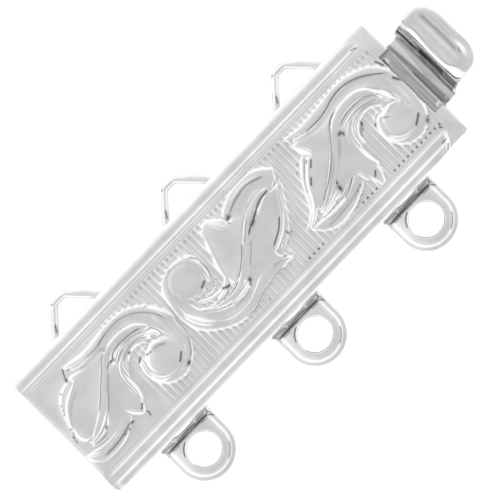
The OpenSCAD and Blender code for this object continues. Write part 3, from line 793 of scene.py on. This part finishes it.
# Cover without its relief. Hip: where the sloped end begins inside. Notch: its sides; lip: width and
# height of its underside. Bed: how deep the relief lies in it. Edge: width of the bed's wall.
boxSet = {
    "length": 30.0, "width": 9.3, "sheet": 0.35, "ceiling": 2.1, "slotTop": 1.09, "hipX": 14.25,
    "notch": (-2.46, 2.62), "lip": (0.27, 1.9), "groundHalf": 3.2, "wallInside": 1.705,
    "hipInside": 1.75, "cornerRound": 0.3, "flareFrom": 3.9, "bed": 0.08, "edge": 0.02,
    # Stretches along the bed and the steps of the grid in each
    "bedSteps": [(-14.0, 26), (13.2, 28), (13.9, 16)],
    # Slopes outwards, in degrees, against the distance from the middle: rail by the eyelets, rail by
    # the loops, sloped end, closed end and the plain corner beyond the beads
    "eyeletRail": [(3.10, 0), (3.13, 6), (3.19, 23), (3.24, 12), (3.3, 4), (3.38, 8), (3.44, 23),
                   (3.5, 14), (3.55, 22), (3.59, 28), (3.65, 22), (3.71, 13), (3.8, 7), (3.95, 10),
                   (4.04, 16), (4.1, 24), (4.17, 31), (4.22, 25), (4.27, 12), (4.35, 7), (4.43, 14),
                   (4.52, 18), (4.59, 22), (4.60, 58), (4.65, 76)],
    "loopRail": [(3.10, 0), (3.14, 6), (3.2, 4), (3.26, -3), (3.32, 2), (3.36, 14), (3.41, 4),
                 (3.48, -3), (3.54, 17), (3.6, 3), (3.66, -4), (3.73, 8), (3.78, 22), (3.83, 12),
                 (3.92, 3), (4.08, 0), (4.18, 4), (4.3, 10), (4.42, 16), (4.5, 22), (4.56, 28),
                 (4.57, 58), (4.65, 76)],
    "endSlope": [(14.05, 0), (14.15, 7), (14.75, 9), (14.86, 14), (14.93, 22), (14.94, 58), (15.0, 76)],
    "closedSlope": [(14.55, 0), (14.66, 6), (14.75, 10), (14.95, 11), (14.96, 58), (15.0, 76)],
    "plainSlope": [(3.1, 0), (3.2, 5), (4.3, 7), (4.5, 14), (4.58, 22), (4.59, 58), (4.65, 76)],
    # Beads: where they end, over what length, and how the line of their ends bends about its middle;
    # then where they start at the closed end, over what length, how far and how much steeper
    "tip": 13.6, "tipLength": 0.5, "tipBend": 0.5, "tipMiddle": 3.4,
    "start": -14.3, "startLength": 0.6, "startShare": 0.6, "startSteep": 1.1,
    "mitre": 0.03, "wallShade": 0.5, "wallShadeFrom": 0.05, "wallTop": 1.5,
    # Painted shade dashes where the beads end and along the closed end: line, how dark, half width
    "darks": [([(13.33, 3.8), (13.55, 3.78), (13.75, 3.67)], 1.0, 0.04),
              ([(13.22, -4.02), (13.43, -3.99), (13.64, -4.01)], 1.0, 0.035),
              ([(13.7, -3.05), (13.83, -3.2), (13.93, -3.42)], 1.0, 0.05),
              ([(-14.63, -1.0), (-14.63, 1.0), (-14.6, 2.9)], 0.2, 0.05)],
}
halfLength, halfWidth, sheet = boxSet["length"] / 2, boxSet["width"] / 2, boxSet["sheet"]
almost = 0.98  # keeps the last step of a rounding open
edgeStep = 0.3  # share of a rounded edge where its middle step is


def slopeHeight(table, at, samples=400):
    # Height lost along a table of slopes
    xs = np.linspace(table[0][0], table[-1][0], samples)
    fall = np.tan(np.radians(np.interp(xs, *zip(*table))))
    sums = np.concatenate([[0], np.cumsum((fall[1:] + fall[:-1]) / 2 * np.diff(xs))])
    return np.interp(at, xs, sums)


def coverTop(gx, gy):
    # Height of the rails, the rolled closed end and the sloped end at the mouth
    s, a = boxSet, np.abs(gy)
    tip = easy((gx - s["tip"] + s["tipBend"] * (a - s["tipMiddle"]) ** 2) / s["tipLength"])
    start = easy((s["start"] - gx) / s["startLength"])
    rail = np.where(gy < 0, slopeHeight(s["eyeletRail"], a), slopeHeight(s["loopRail"], a))
    plain = slopeHeight(s["plainSlope"], a)
    side = rail + (plain - rail) * tip
    side = side + (plain * s["startSteep"] - side) * start * s["startShare"]
    ends = slopeHeight(s["endSlope"], gx) + slopeHeight(s["closedSlope"], -gx)
    k = s["mitre"]
    return reliefSet["ground"] - (side + ends + np.sqrt((side - ends) ** 2 + k * k) - k) / 2


def spread(start, *stops):
    # Grid lines from a start through stops, each with its number of steps
    lines = []
    for end, steps in stops:
        lines.append(np.linspace(start, end, steps, endpoint=False))
        start = end
    return np.concatenate(lines + [[start]])


def cutAway(shape, cutters):
    # Takes closed cutters out of a closed shape
    body = putInScene("blank", shape.mesh("blank"))
    tools = [putInScene("cutter", c.mesh("cutter")) for c in cutters]
    for tool in tools:
        cut = body.modifiers.new("cut", "BOOLEAN")
        cut.operation, cut.solver, cut.object = "DIFFERENCE", "EXACT", tool
    done = bpy.data.meshes.new_from_object(body.evaluated_get(bpy.context.evaluated_depsgraph_get()))
    for obj in [body] + tools:
        bpy.data.objects.remove(obj)
    return done


def prism(x0, x1, ring):
    return Shape().loft([[(x, y, z) for y, z in ring] for x in (x0, x1)])


def block(x0, x1, y0, y1, top):
    # Cutter from below the part up to a height
    return prism(x0, x1, [(y0, -1), (y1, -1), (y1, top), (y0, top)])


def makeCoverFrame():
    s, t, r = boxSet, sheet, boxSet["cornerRound"]
    hl, hw, e = halfLength, halfWidth, s["edge"]
    x0, x1, side = reliefSet["x0"], reliefSet["x1"], reliefSet["halfWidth"]
    xs = spread(-hl, (x0, 3), (x0 + e, 1), *s["bedSteps"], (x1 - e, 8), (x1, 1), (hl, 28))
    half = spread(0, (side - e, 4), (side, 1), (hw, 50))
    gx, gy = np.meshgrid(xs, np.concatenate([-half[:0:-1], half]))
    # The relief lies in a shallow bed
    bed = (np.abs(gy) < side - e / 2) & (gx > x0 + e / 2) & (gx < x1 - e / 2)
    gz = coverTop(gx, gy) - np.where(bed, s["bed"], 0)
    gz[[0, -1]] -= e
    # Rounds the corners in plan, from a distance out
    over = np.clip(np.abs(gx) - (hl - r), 0, r)
    inset = r - np.sqrt(r * r - over * over * almost)
    far = np.clip((np.abs(gy) - s["flareFrom"]) / (hw - s["flareFrom"]), 0, 1)
    blank = Shape().slab(gx, gy - np.sign(gy) * inset * far, gz, 0.0)
    wi, gh, up, hip = s["wallInside"], s["groundHalf"], s["ceiling"], s["hipX"]
    (n0, n1), (lip, lipFoot) = s["notch"], s["lip"]
    # How far cutters run into each other, past the mouth and above the cover
    lap, out, clear = 0.1, hl + 1, 3.5
    # Inside, sloped end, slot at the mouth, slot by the loops, and the notch with its lip
    cutters = [prism(-hl + t, hip, [(-hw + t, -1), (-hw + t, wi), (-gh, up), (gh, up), (hw - t, wi),
                                    (hw - t, -1)]),
               block(hip - lap, hl - t, -hw + t, hw - t, s["hipInside"]),
               block(hl - t - lap, out, -hw + t, hw + 1, s["slotTop"]),
               block(-hl + t, out, hw - t - lap, hw + 1, s["slotTop"]),
               block(hip, out, n0, n1 - lip, clear), block(hip, out, n0, n1, lipFoot)]
    mesh = cutAway(blank, cutters)
    x, y, z = np.array([v.co for v in mesh.vertices]).T
    # Painted shade dashes on the top
    marks = Stamp(x, y)
    for dash in s["darks"]:
        marks.shade(*dash)
    # The walls away from the eyelets are painted with shade, darker towards the foot
    wall = (z < s["wallTop"]) & ((y > hw - s["wallShadeFrom"]) | (x < s["wallShadeFrom"] - hl))
    wallShade = s["wallShade"] * (1 + 0.2 * np.sin(3 * x + 2 * y))
    paintedShadingLayer = np.where(wall, wallShade, marks.paintedShading * (z > s["wallTop"]))
    dressPiece("coverFrame", mesh, "box", "cover", "cover", 30, paintedShadingLayer)


def makeCoverPanel():
    gx, gy, gz, paintedShading = reliefMap()
    fall = reliefSet["ground"] - coverTop(gx, gy)
    panel = Shape().slab(gx, gy, gz - fall, reliefSet["underside"])
    # The relief carries its painted shade along folds, hatch dots and hollows
    panel.dress("coverPanel", "box", "cover", "cover", 70, paintedShading.ravel())


makeCoverFrame()
print("cover frame made")
makeCoverPanel()
print("cover relief made")


# Back sheet, tongue sheet with the fold at the closed end. Shift: how far the tongue stands towards
# the loops; gap: between the two sheets
sheetSet = {"gap": 0.07, "plateHalf": 4.16, "plateEnd": 14.85, "edge": 0.06, "shift": 0.08,
            "leafHalf": 2.5, "foldX": -14.085, "foldZ": 0.845, "foldR": 0.425, "foldSteps": 12}


def flatSheet(name, low, high, *settings):
    # Flat sheet with rounded edges: rounded section along X, pulled in at both ends
    r = sheetSet["edge"]
    mid, half, k = (low[1] + high[1]) / 2, (high[1] - low[1]) / 2, edgeStep * r
    rings = []
    for x, inset in [(low[0], r), (low[0] + k, k), (low[0] + r, 0),
                     (high[0] - r, 0), (high[0] - k, k), (high[0], r)]:
        section = roundedSection(half - inset, low[2] + inset, high[2] - inset, r)
        rings.append([(x, mid + a, b) for a, b in section])
    Shape().loft(rings).dress(name, *settings)


def makeSheets():
    s, hl, hw, t = sheetSet, halfLength, halfWidth, sheet
    flatSheet("backSheet", (-hl + t, -hw + t, 0), (hl, hw, t), "box", "back_plate", "sheet")
    lift, mid = t + s["gap"], s["shift"]
    flatSheet("tongueSheet", (s["foldX"], mid - s["plateHalf"], lift),
              (s["plateEnd"], mid + s["plateHalf"], lift + t), "tongue", "tongue_plate", "sheet")
    section = roundedSection(s["leafHalf"], -t / 2, t / 2, s["edge"])
    rings = []
    for k in range(s["foldSteps"] + 1):
        a = radians(-90 - 180 * k / s["foldSteps"])
        rings.append([(s["foldX"] + (s["foldR"] - t / 2 + v) * cos(a), mid + u,
                       s["foldZ"] + (s["foldR"] - t / 2 + v) * sin(a)) for u, v in section])
    Shape().loft(rings).dress("tongueFold", "tongue", "tongue_plate", "sheet")


makeSheets()
print("sheets made")


# Eyelets: where they are along the box, how much painted shade each one's strap has, width, how far the
# hole's middle is from the wall, radius of the hole
eyeletSet = {
    "centres": [-9.7, -0.2, 9.3], "darker": [0.55, 0.8, 1.0], "width": 3.84, "reach": 1.5,
    "hole": 1.05, "thick": 0.5, "underRound": 0.06, "turns": 180, "rows": 30,
    # Slope of the upper face against the distance from the outer edge and from the hole
    "rimSlope": [(0, 70), (0.03, 40), (0.05, 10), (0.23, 10), (0.27, 28), (0.35, 28), (0.4, 15),
                 (0.6, 10), (0.87, 7)],
    "holeSlope": [(0, 66), (0.03, 44), (0.09, 26), (0.14, 0)],
    # Strap bent up the wall: thickness, height, height of its ears, their width and their rounding
    "strap": 0.14, "strapTop": 1.1, "earTop": 1.5, "earWidth": 0.95, "earStep": 0.08, "earRound": 0.1,
    # Its lower end, the top of its foot painted dark with shade and how soon that shade ends, its bevelled
    # edge, how far out its front starts, and how much painted shade the front and the rest have
    "strapFoot": 0.1, "footTop": 1.0, "footFade": 0.06, "bevel": 0.04, "front": 0.12,
    "frontDark": 0.5, "strapDark": 0.36,
    # Painted shade on the plate in its middle, and how much more towards the mouth
    "plateDark": (0.02, 0.025),
    # Painted shade at the foot, from the wall's line, with how dark it is, half width and fade; then painted
    # shade arcs about the hole: radius, two angles, how dark, half width
    "footDark": (1.0, 0.04, 0.04),
    "foot": [(-1.84, -0.17), (-0.9, -0.16), (0.2, -0.12), (1.1, -0.16), (1.5, -0.17), (1.7, -0.28),
             (1.86, -0.48)],
    "arcs": [(1.23, 112, 160, 1.0, 0.04), (1.57, -68, -26, 0.9, 0.035), (1.075, 185, 325, 0.55, 0.04),
             (1.12, 35, 105, 0.3, 0.03)],
}


def addPlate(shape, centre, y0):
    # D-shaped plate round the hole: every ring runs over the top from the rim to the hole and back below
    s = eyeletSet
    half, r = s["width"] / 2, s["underRound"]
    corner = np.degrees(np.arctan2(s["reach"], half))
    stops = sorted(set(np.linspace(0, 360, s["turns"], endpoint=False)) | {corner, 180 - corner})
    full, deep = slopeHeight(s["rimSlope"], 1), slopeHeight(s["holeSlope"], 1)
    rings = []
    for a in stops:
        c, d = cos(radians(a)), sin(radians(a))
        reach = half if d <= 0 else min(half / max(abs(c), 1e-6), s["reach"] / max(d, 1e-6))
        ring = []
        for t in np.linspace(0, 1, s["rows"]):
            q = reach + (s["hole"] - reach) * (t + easy(t)) / 2
            x, y = q * c, q * d
            rim = half - (abs(x) if y > 0 else q)
            fall = full - slopeHeight(s["rimSlope"], rim) + deep - slopeHeight(s["holeSlope"], q - s["hole"])
            ring.append((centre + x, y0 + y, s["thick"] - fall))
        ring += [(centre + q * c, y0 + q * d, z) for q, z in
                 ((s["hole"], r), (s["hole"] + r, 0), (reach - r, 0), (reach, r))]
        rings.append(ring)
    shape.loft(rings, loop=True)


def addStrap(shape, centre):
    # Strap up the wall with an ear at either side
    s = eyeletSet
    half, r, b, foot, rings = s["width"] / 2, s["earRound"], s["bevel"], s["footTop"], []
    for u in spread(-half, (-half + r, 4), (half - r, 44), (half, 4)):
        ear = easy((abs(u) - half + s["earWidth"] + s["earStep"]) / s["earStep"])
        over = max(abs(u) - half + r, 0)
        top = s["strapTop"] + (s["earTop"] - s["strapTop"]) * ear - (r - sqrt(r * r - over * over * almost))
        thin = s["strap"] * (1 - 3 * over)
        rings.append([(centre + u, -halfWidth + y, z) for y, z in
                      ((0, s["strapFoot"]), (-thin, s["strapFoot"]), (-thin, foot - s["footFade"]),
                       (-thin, foot), (-thin, top - b), (-thin + b, top), (0, top))])
    shape.loft(rings)


def makeEyelet(number, centre):
    s, hw = eyeletSet, halfWidth
    y0, shape = -hw - s["reach"], Shape()
    addPlate(shape, centre, y0)
    addStrap(shape, centre)
    x, y, z = np.array(shape.points).T
    x = x - centre
    # Painted shade: the plate darker towards the mouth, arcs about the hole, the strap, its front and its
    # foot
    middle, more = s["plateDark"]
    p = Stamp(x, y, paintedShading=middle + more * x / (s["width"] / 2))
    for radius, start, end, dark, width in s["arcs"]:
        turn = np.radians(np.linspace(start, end, 9))
        p.shade(np.stack([radius * np.cos(turn), y0 + radius * np.sin(turn)], 1), dark, width)
    front = np.where(z < s["footTop"], 1, s["frontDark"])
    strap = np.where(y < -hw - s["front"], front, s["strapDark"]) * s["darker"][number - 1]
    p.paintedShading = np.where(z > s["thick"] + 0.01, strap, p.paintedShading)
    p.shade([(u, v - hw) for u, v in s["foot"]], *s["footDark"])
    shape.dress("eyelet%d" % number, "box", "eyelet_%d" % number, "eyelet", 40, p.paintedShading)


for number, centre in enumerate(eyeletSet["centres"], 1):
    makeEyelet(number, centre)
print("eyelets made")


# Loops of strip. Middle line of one half: share of the width, then distance from the wall, in
# millimetres at the foot and as a share of the rise above it. Section: distance from the middle line
# (the outer side is negative), height, how much painted shade
loopSet = {
    "centres": [-9.5, 0.0, 9.5], "width": 4.16, "rise": 1.79, "foot": [(0.52, -0.41), (0.5, -0.05)],
    "half": [(0.425, 0.17), (0.28, 0.54), (0.15, 0.87), (0.08, 1)],
    "section": [(-0.24, 0.5, 0), (-0.24, 0.66, 0), (-0.23, 0.70, 0), (-0.2, 0.735, 0), (-0.16, 0.76, 0),
                (-0.11, 0.78, 0), (-0.05, 0.793, 0), (0.02, 0.805, 0.02), (0.07, 0.81, 0.04),
                (0.09, 0.805, 0), (0.13, 0.785, 0), (0.17, 0.765, 0), (0.19, 0.757, 0.03),
                (0.225, 0.745, 0.12), (0.24, 0.72, 0.12), (0.24, 0.5, 0.05), (0.19, 0.42, 0),
                (-0.19, 0.42, 0)],
    # One leg's outer side is broader: where that starts, over what length and by how much
    "wider": (0.4, 0.8, 0.6),
    # Painted shade streaks measured from the middle of the loop and the box wall
    "darks": [([(-1.2, 0.95), (-1.35, 0.7), (-1.55, 0.42)], 0.95, 0.06),
              ([(-0.62, 1.9), (-0.5, 1.94)], 0.85, 0.06),
              ([(-0.6, 1.88), (-0.2, 1.86), (0.35, 1.83)], 0.22, 0.07),
              ([(-0.45, 1.55), (-0.2, 1.62), (0.2, 1.62), (0.45, 1.55)], 0.35, 0.05)],
}


def headings(line):
    # Unit direction of a line at each of its points
    ahead = np.gradient(line, axis=0)
    return ahead / np.linalg.norm(ahead, axis=1)[:, None]


def makeLoop(number, centre):
    s, hw = loopSet, halfWidth
    w, rise = s["width"], s["rise"]
    half = [(a * w, b) for a, b in s["foot"]] + [(a * w, b * rise) for a, b in s["half"]]
    line = smoothRows([(-x, y) for x, y in half] + half[::-1], 8)
    ahead = headings(line)
    ahead[0], ahead[-1] = (0, 1), (0, -1)
    start, length, more = s["wider"]
    rings = []
    for (x, y), (a, b) in zip(line, ahead):
        k = 1 + more * easy((x - start) / length)
        ring = [(u * k if u < 0 else u, z) for u, z, _ in s["section"]]
        rings.append([(centre + x + b * u, hw + sheetSet["shift"] + y - a * u, z) for u, z in ring])
    shape = Shape().loft(rings)
    x, y, _ = np.array(shape.points).T
    # Painted shade along the strip's edges and in streaks
    p = Stamp(x - centre, y - hw, paintedShading=np.tile([dark for _, _, dark in s["section"]], len(line)))
    for streak in s["darks"]:
        p.shade(*streak)
    shape.dress("loop%d" % number, "tongue", "loop_%d" % number, "loop", 40, p.paintedShading)


for number, centre in enumerate(loopSet["centres"], 1):
    makeLoop(number, centre)
print("loops made")


# Spring leaf: side view of its middle line, first at its side by the eyelets and then at its side by
# the loops, where it differs only up to the step. Creases, and areas and lines of painted shade and painted
# highlight, lie on its upper face, measured from the end of the box: points, strength, width
leafSet = {
    "half": 2.5, "thick": 0.35, "edge": 0.07, "start": (-14.06, 1.095), "across": 61, "steps": 10,
    "eyeletSide": [(-0.06, 1.655), (0.0, 1.62), (0.08, 1.59), (0.4, 1.57), (0.72, 1.6), (0.9, 1.66),
                   (0.99, 1.8)],
    "loopSide": [(-0.04, 1.655), (0.02, 1.63), (0.1, 1.62), (0.4, 1.64), (0.72, 1.7), (0.9, 1.76),
                 (0.99, 1.9)],
    "inside": [(-1.3, 1.645), (-0.5, 1.66)],
    "step": [(1.05, 2.2), (1.07, 2.6), (1.09, 2.84), (1.45, 3.26), (1.58, 3.35), (1.85, 3.385),
             (2.9, 3.385)],
    # Painted shade over the whole upper face; the areas and lines below make it darker as painted shade and
    # lighter as painted highlight
    "base": 0.36,
    "paintedTones": [
        ([(0.0, 2.6), (0.13, 2.6), (0.23, 1.4), (0.3, 0.2), (0.36, -1.2), (0.4, -2.6), (0.0, -2.6)],
         0.64, 0.07),
        ([(0.2, 2.6), (0.64, 2.6), (0.58, 1.6), (0.5, 0.7), (0.42, -0.2), (0.37, -0.2), (0.29, 1.2)],
         0.02, 0.1),
        ([(0.42, -0.9), (0.52, -0.6), (0.68, -1.6), (0.75, -2.6), (0.44, -2.6)], 0.2, 0.1),
        ([(0.68, 2.6), (0.82, 2.6), (0.8, 1.0), (0.82, -0.6), (0.9, -2.6), (0.82, -2.6), (0.72, -0.6)],
         0.48, 0.08),
        ([(0.9, 2.6), (1.06, 2.6), (1.06, -2.6), (0.96, -2.6), (0.9, -0.6)], 0.35, 0.06),
        ([(1.06, 2.6), (1.44, 2.6), (1.44, 0.8), (1.46, -2.6), (1.06, -2.6)], 0.72, 0.06),
        ([(1.14, 0.6), (1.36, 0.6), (1.38, -1.35), (1.16, -1.4)], 1.0, 0.08)],
    "marks": [
        ([(-0.03, 2.2), (-0.07, 0.6), (-0.1, -0.3), (-0.1, -2.45)], 0.0, 0.035),
        ([(0.015, 0.4), (0.01, -1.0), (0.01, -2.45)], 1.0, 0.04),
        ([(-0.26, 1.0), (-0.27, -0.5), (-0.27, -2.3)], 0.62, 0.03),
        ([(-0.5, -0.6), (-0.51, -2.4)], 0.6, 0.025), ([(-0.35, -0.8), (-0.35, -2.3)], 0.2, 0.03),
        ([(-0.41, 2.2), (-0.4, 0.2)], 0.5, 0.04),
        ([(0.96, 2.4), (0.86, 0.6), (0.81, -0.6), (0.86, -1.6)], 0.0, 0.03),
        ([(1.27, 2.4), (1.29, 0.7)], 0.0, 0.022), ([(1.36, 2.2), (1.37, 0.8)], 0.0, 0.018)],
    "creases": [([(-0.58, 2.05), (-0.58, 1.62)], 0.05, 0.1), ([(-0.4, -2.2), (-0.08, -2.2)], 0.055, 0.09),
                ([(0.28, -2.25), (0.36, -2.25)], 0.04, 0.06), ([(0.84, -2.3), (0.92, -2.3)], 0.04, 0.06)],
}


def makeLeaf():
    s, hl = leafSet, halfLength
    half, e = s["half"], s["edge"]
    sides = [smoothRows([(hl + x, z) for x, z in s["inside"] + s[name] + s["step"]], s["steps"])
             for name in ("eyeletSide", "loopSide")]
    # Places across the leaf and how much thinner it is there: rounded at both edges
    k = edgeStep * e
    across = [(y, 0) for y in np.linspace(-half + e, half - e, s["across"])]
    across = [(-half, e), (-half + k, k)] + across + [(half - k, k), (half, e)]
    tops, lows = [], []
    for y, thin in across:
        share = (y + half) / (2 * half)
        line = np.vstack([[s["start"]], sides[0] + (sides[1] - sides[0]) * share])
        ahead = headings(line)
        side = np.stack([-ahead[:, 1], ahead[:, 0]], 1) * (s["thick"] / 2 - thin)
        tops.append(line + side)
        lows.append(line - side)
    tops, lows = np.array(tops), np.array(lows)
    gx, gy = tops[..., 0] - hl, np.array([y for y, _ in across])[:, None] + np.zeros(tops.shape[:2])
    # Painted shade and painted highlight tones on the upper face
    p = Stamp(gx, gy, paintedShading=np.full(gx.shape, s["base"]))
    for paintTone in s["paintedTones"]:
        p.paintTone(*paintTone)
    for mark in s["marks"]:
        p.tint(*mark)
    # Each crease also gets a painted highlight along it
    for rows, rise, width in s["creases"]:
        p.crease(rows, rise, width)
        p.tint(rows, 0, width)
    y = gy + sheetSet["shift"]
    upper = np.stack([tops[..., 0], y, tops[..., 1] + p.gz], -1)
    lower = np.stack([lows[..., 0], y, lows[..., 1]], -1)[:, ::-1]
    dark = np.concatenate([p.paintedShading, np.zeros(lower.shape[:2])], 1)
    leaf = Shape().loft(np.concatenate([upper, lower], 1).tolist())
    leaf.dress("springLeaf", "leaf", "spring_leaf", "spring", 40, dark.ravel())


makeLeaf()
print("spring leaf made")


# Thumb pad: where it starts, half axes of its corners, and how far the finer steps of its grid reach
# in from the inner and the outer end
padSet = {
    "x0": 16.44, "length": 2.26, "width": 5.1, "top": 3.97, "thick": 0.39, "outer": (1.1, 1.6),
    "inner": (0.45, 0.7), "fineEnds": (0.34, 0.3), "halfRows": 40,
    # Fall of the top towards its rim, the same near one corner, and the roll at its inner side from
    # the line where it starts
    "rimSlope": [(-0.36, 0), (-0.24, 6), (-0.1, 16), (-0.05, 28), (-0.025, 52), (0, 72)],
    "cornerSlope": [(-0.66, 0), (-0.62, 24), (-0.4, 27), (-0.36, 9), (-0.1, 14), (-0.05, 28),
                    (-0.025, 52), (0, 72)],
    "corner": (18.15, -1.3), "cornerSize": 0.75,
    "rollStart": [(-2.5, 17.25), (-1.9, 17.12), (-1.6, 16.95), (-1.3, 16.82), (-0.7, 16.75),
                  (0.1, 16.75), (0.5, 16.8), (1.3, 16.88), (1.8, 16.84), (2.1, 16.66), (2.5, 16.5)],
    "rollSlope": [(0, 17), (0.08, 22), (0.31, 30), (0.8, 30)],
    "creases": [([(17.09, 2.1), (17.09, -1.9)], 0.011, 0.045), ([(17.3, 2.3), (17.3, -2.2)], -0.004, 0.06),
                ([(17.56, 2.3), (17.56, 0), (17.55, -2.0)], 0.018, 0.05),
                ([(17.85, 2.0), (17.88, 0.5), (17.85, -1.4)], -0.014, 0.12),
                ([(18.2, 1.7), (18.26, 0.5), (18.22, -0.4)], 0.008, 0.07),
                ([(18.4, 1.0), (18.44, 0.2), (18.4, -0.6)], -0.008, 0.06)],
    # Painted shade along the grooves and edges: line, how dark, half width
    "darks": [([(17.82, 2.1), (17.86, 0.8), (17.87, 0), (17.83, -1.3)], 0.45, 0.12),
              ([(18.14, 1.6), (18.2, 0.5), (18.17, -0.3)], 0.12, 0.07),
              ([(18.38, 0.9), (18.42, 0.2), (18.38, -0.4)], 0.14, 0.06),
              ([(17.84, -1.38), (17.95, -1.25), (18.02, -1.1)], 0.6, 0.05),
              ([(16.72, 2.3), (16.9, 2.42)], 0.6, 0.05),
              ([(16.84, 1.95), (16.92, 1.3), (16.84, 0.5)], 0.4, 0.03),
              ([(16.79, -0.6), (16.86, -1.3), (17.0, -1.6), (17.18, -1.9)], 0.35, 0.03)],
}


def padOutline():
    # Half of the pad's outline from its inner edge: places along X and half widths, rounded at both ends
    s = padSet
    half, (ax, ay), (bx, by) = s["width"] / 2, s["inner"], s["outer"]
    rows = []
    for a in range(0, 91, 9):
        x = ax * (1 - cos(radians(a)))
        rows.append((x, half - ay + ay * sqrt(max(0, 1 - ((ax - x) / ax) ** 2))))
    for a in range(0, 91, 6):
        x = s["length"] - bx * (1 - sin(radians(a)))
        rows.append((x, half - by + by * sqrt(max(0, 1 - ((x - s["length"] + bx) / bx) ** 2))))
    return rows


def makePad():
    s, outline = padSet, padOutline()
    length, n = s["length"], s["halfRows"]
    first, last = s["fineEnds"]
    xs = spread(0, (first, 16), (length - last, 64), (length, 18))
    across = np.cos(np.linspace(pi / 2, 0, n))
    gx, share = np.meshgrid(xs, np.concatenate([-across[:0:-1], across]))
    gy = share * np.interp(xs, *zip(*outline))[None, :]
    ring = np.array(outline + [(x, -h) for x, h in outline[::-1]])
    d = np.maximum(insideOf(gx, gy, ring), 0)
    gx = gx + s["x0"]
    near = np.exp(-((gx - s["corner"][0]) ** 2 + (gy - s["corner"][1]) ** 2) / s["cornerSize"] ** 2)
    fall = slopeHeight(s["rimSlope"], -d) * (1 - near) + slopeHeight(s["cornerSlope"], -d) * near
    fall += slopeHeight(s["rollSlope"], np.interp(gy, *zip(*s["rollStart"])) - gx)
    p = Stamp(gx, gy, -fall)
    for crease in s["creases"]:
        p.crease(*crease)
    # Painted shade along the grooves and edges
    for dark in s["darks"]:
        p.shade(*dark)
    pad = Shape().slab(gx, gy + sheetSet["shift"], s["top"] + p.gz, s["top"] - s["thick"])
    pad.dress("thumbPad", "leaf", "thumb_pad", "pad", 50, p.paintedShading.ravel())


makePad()
print("thumb pad made")
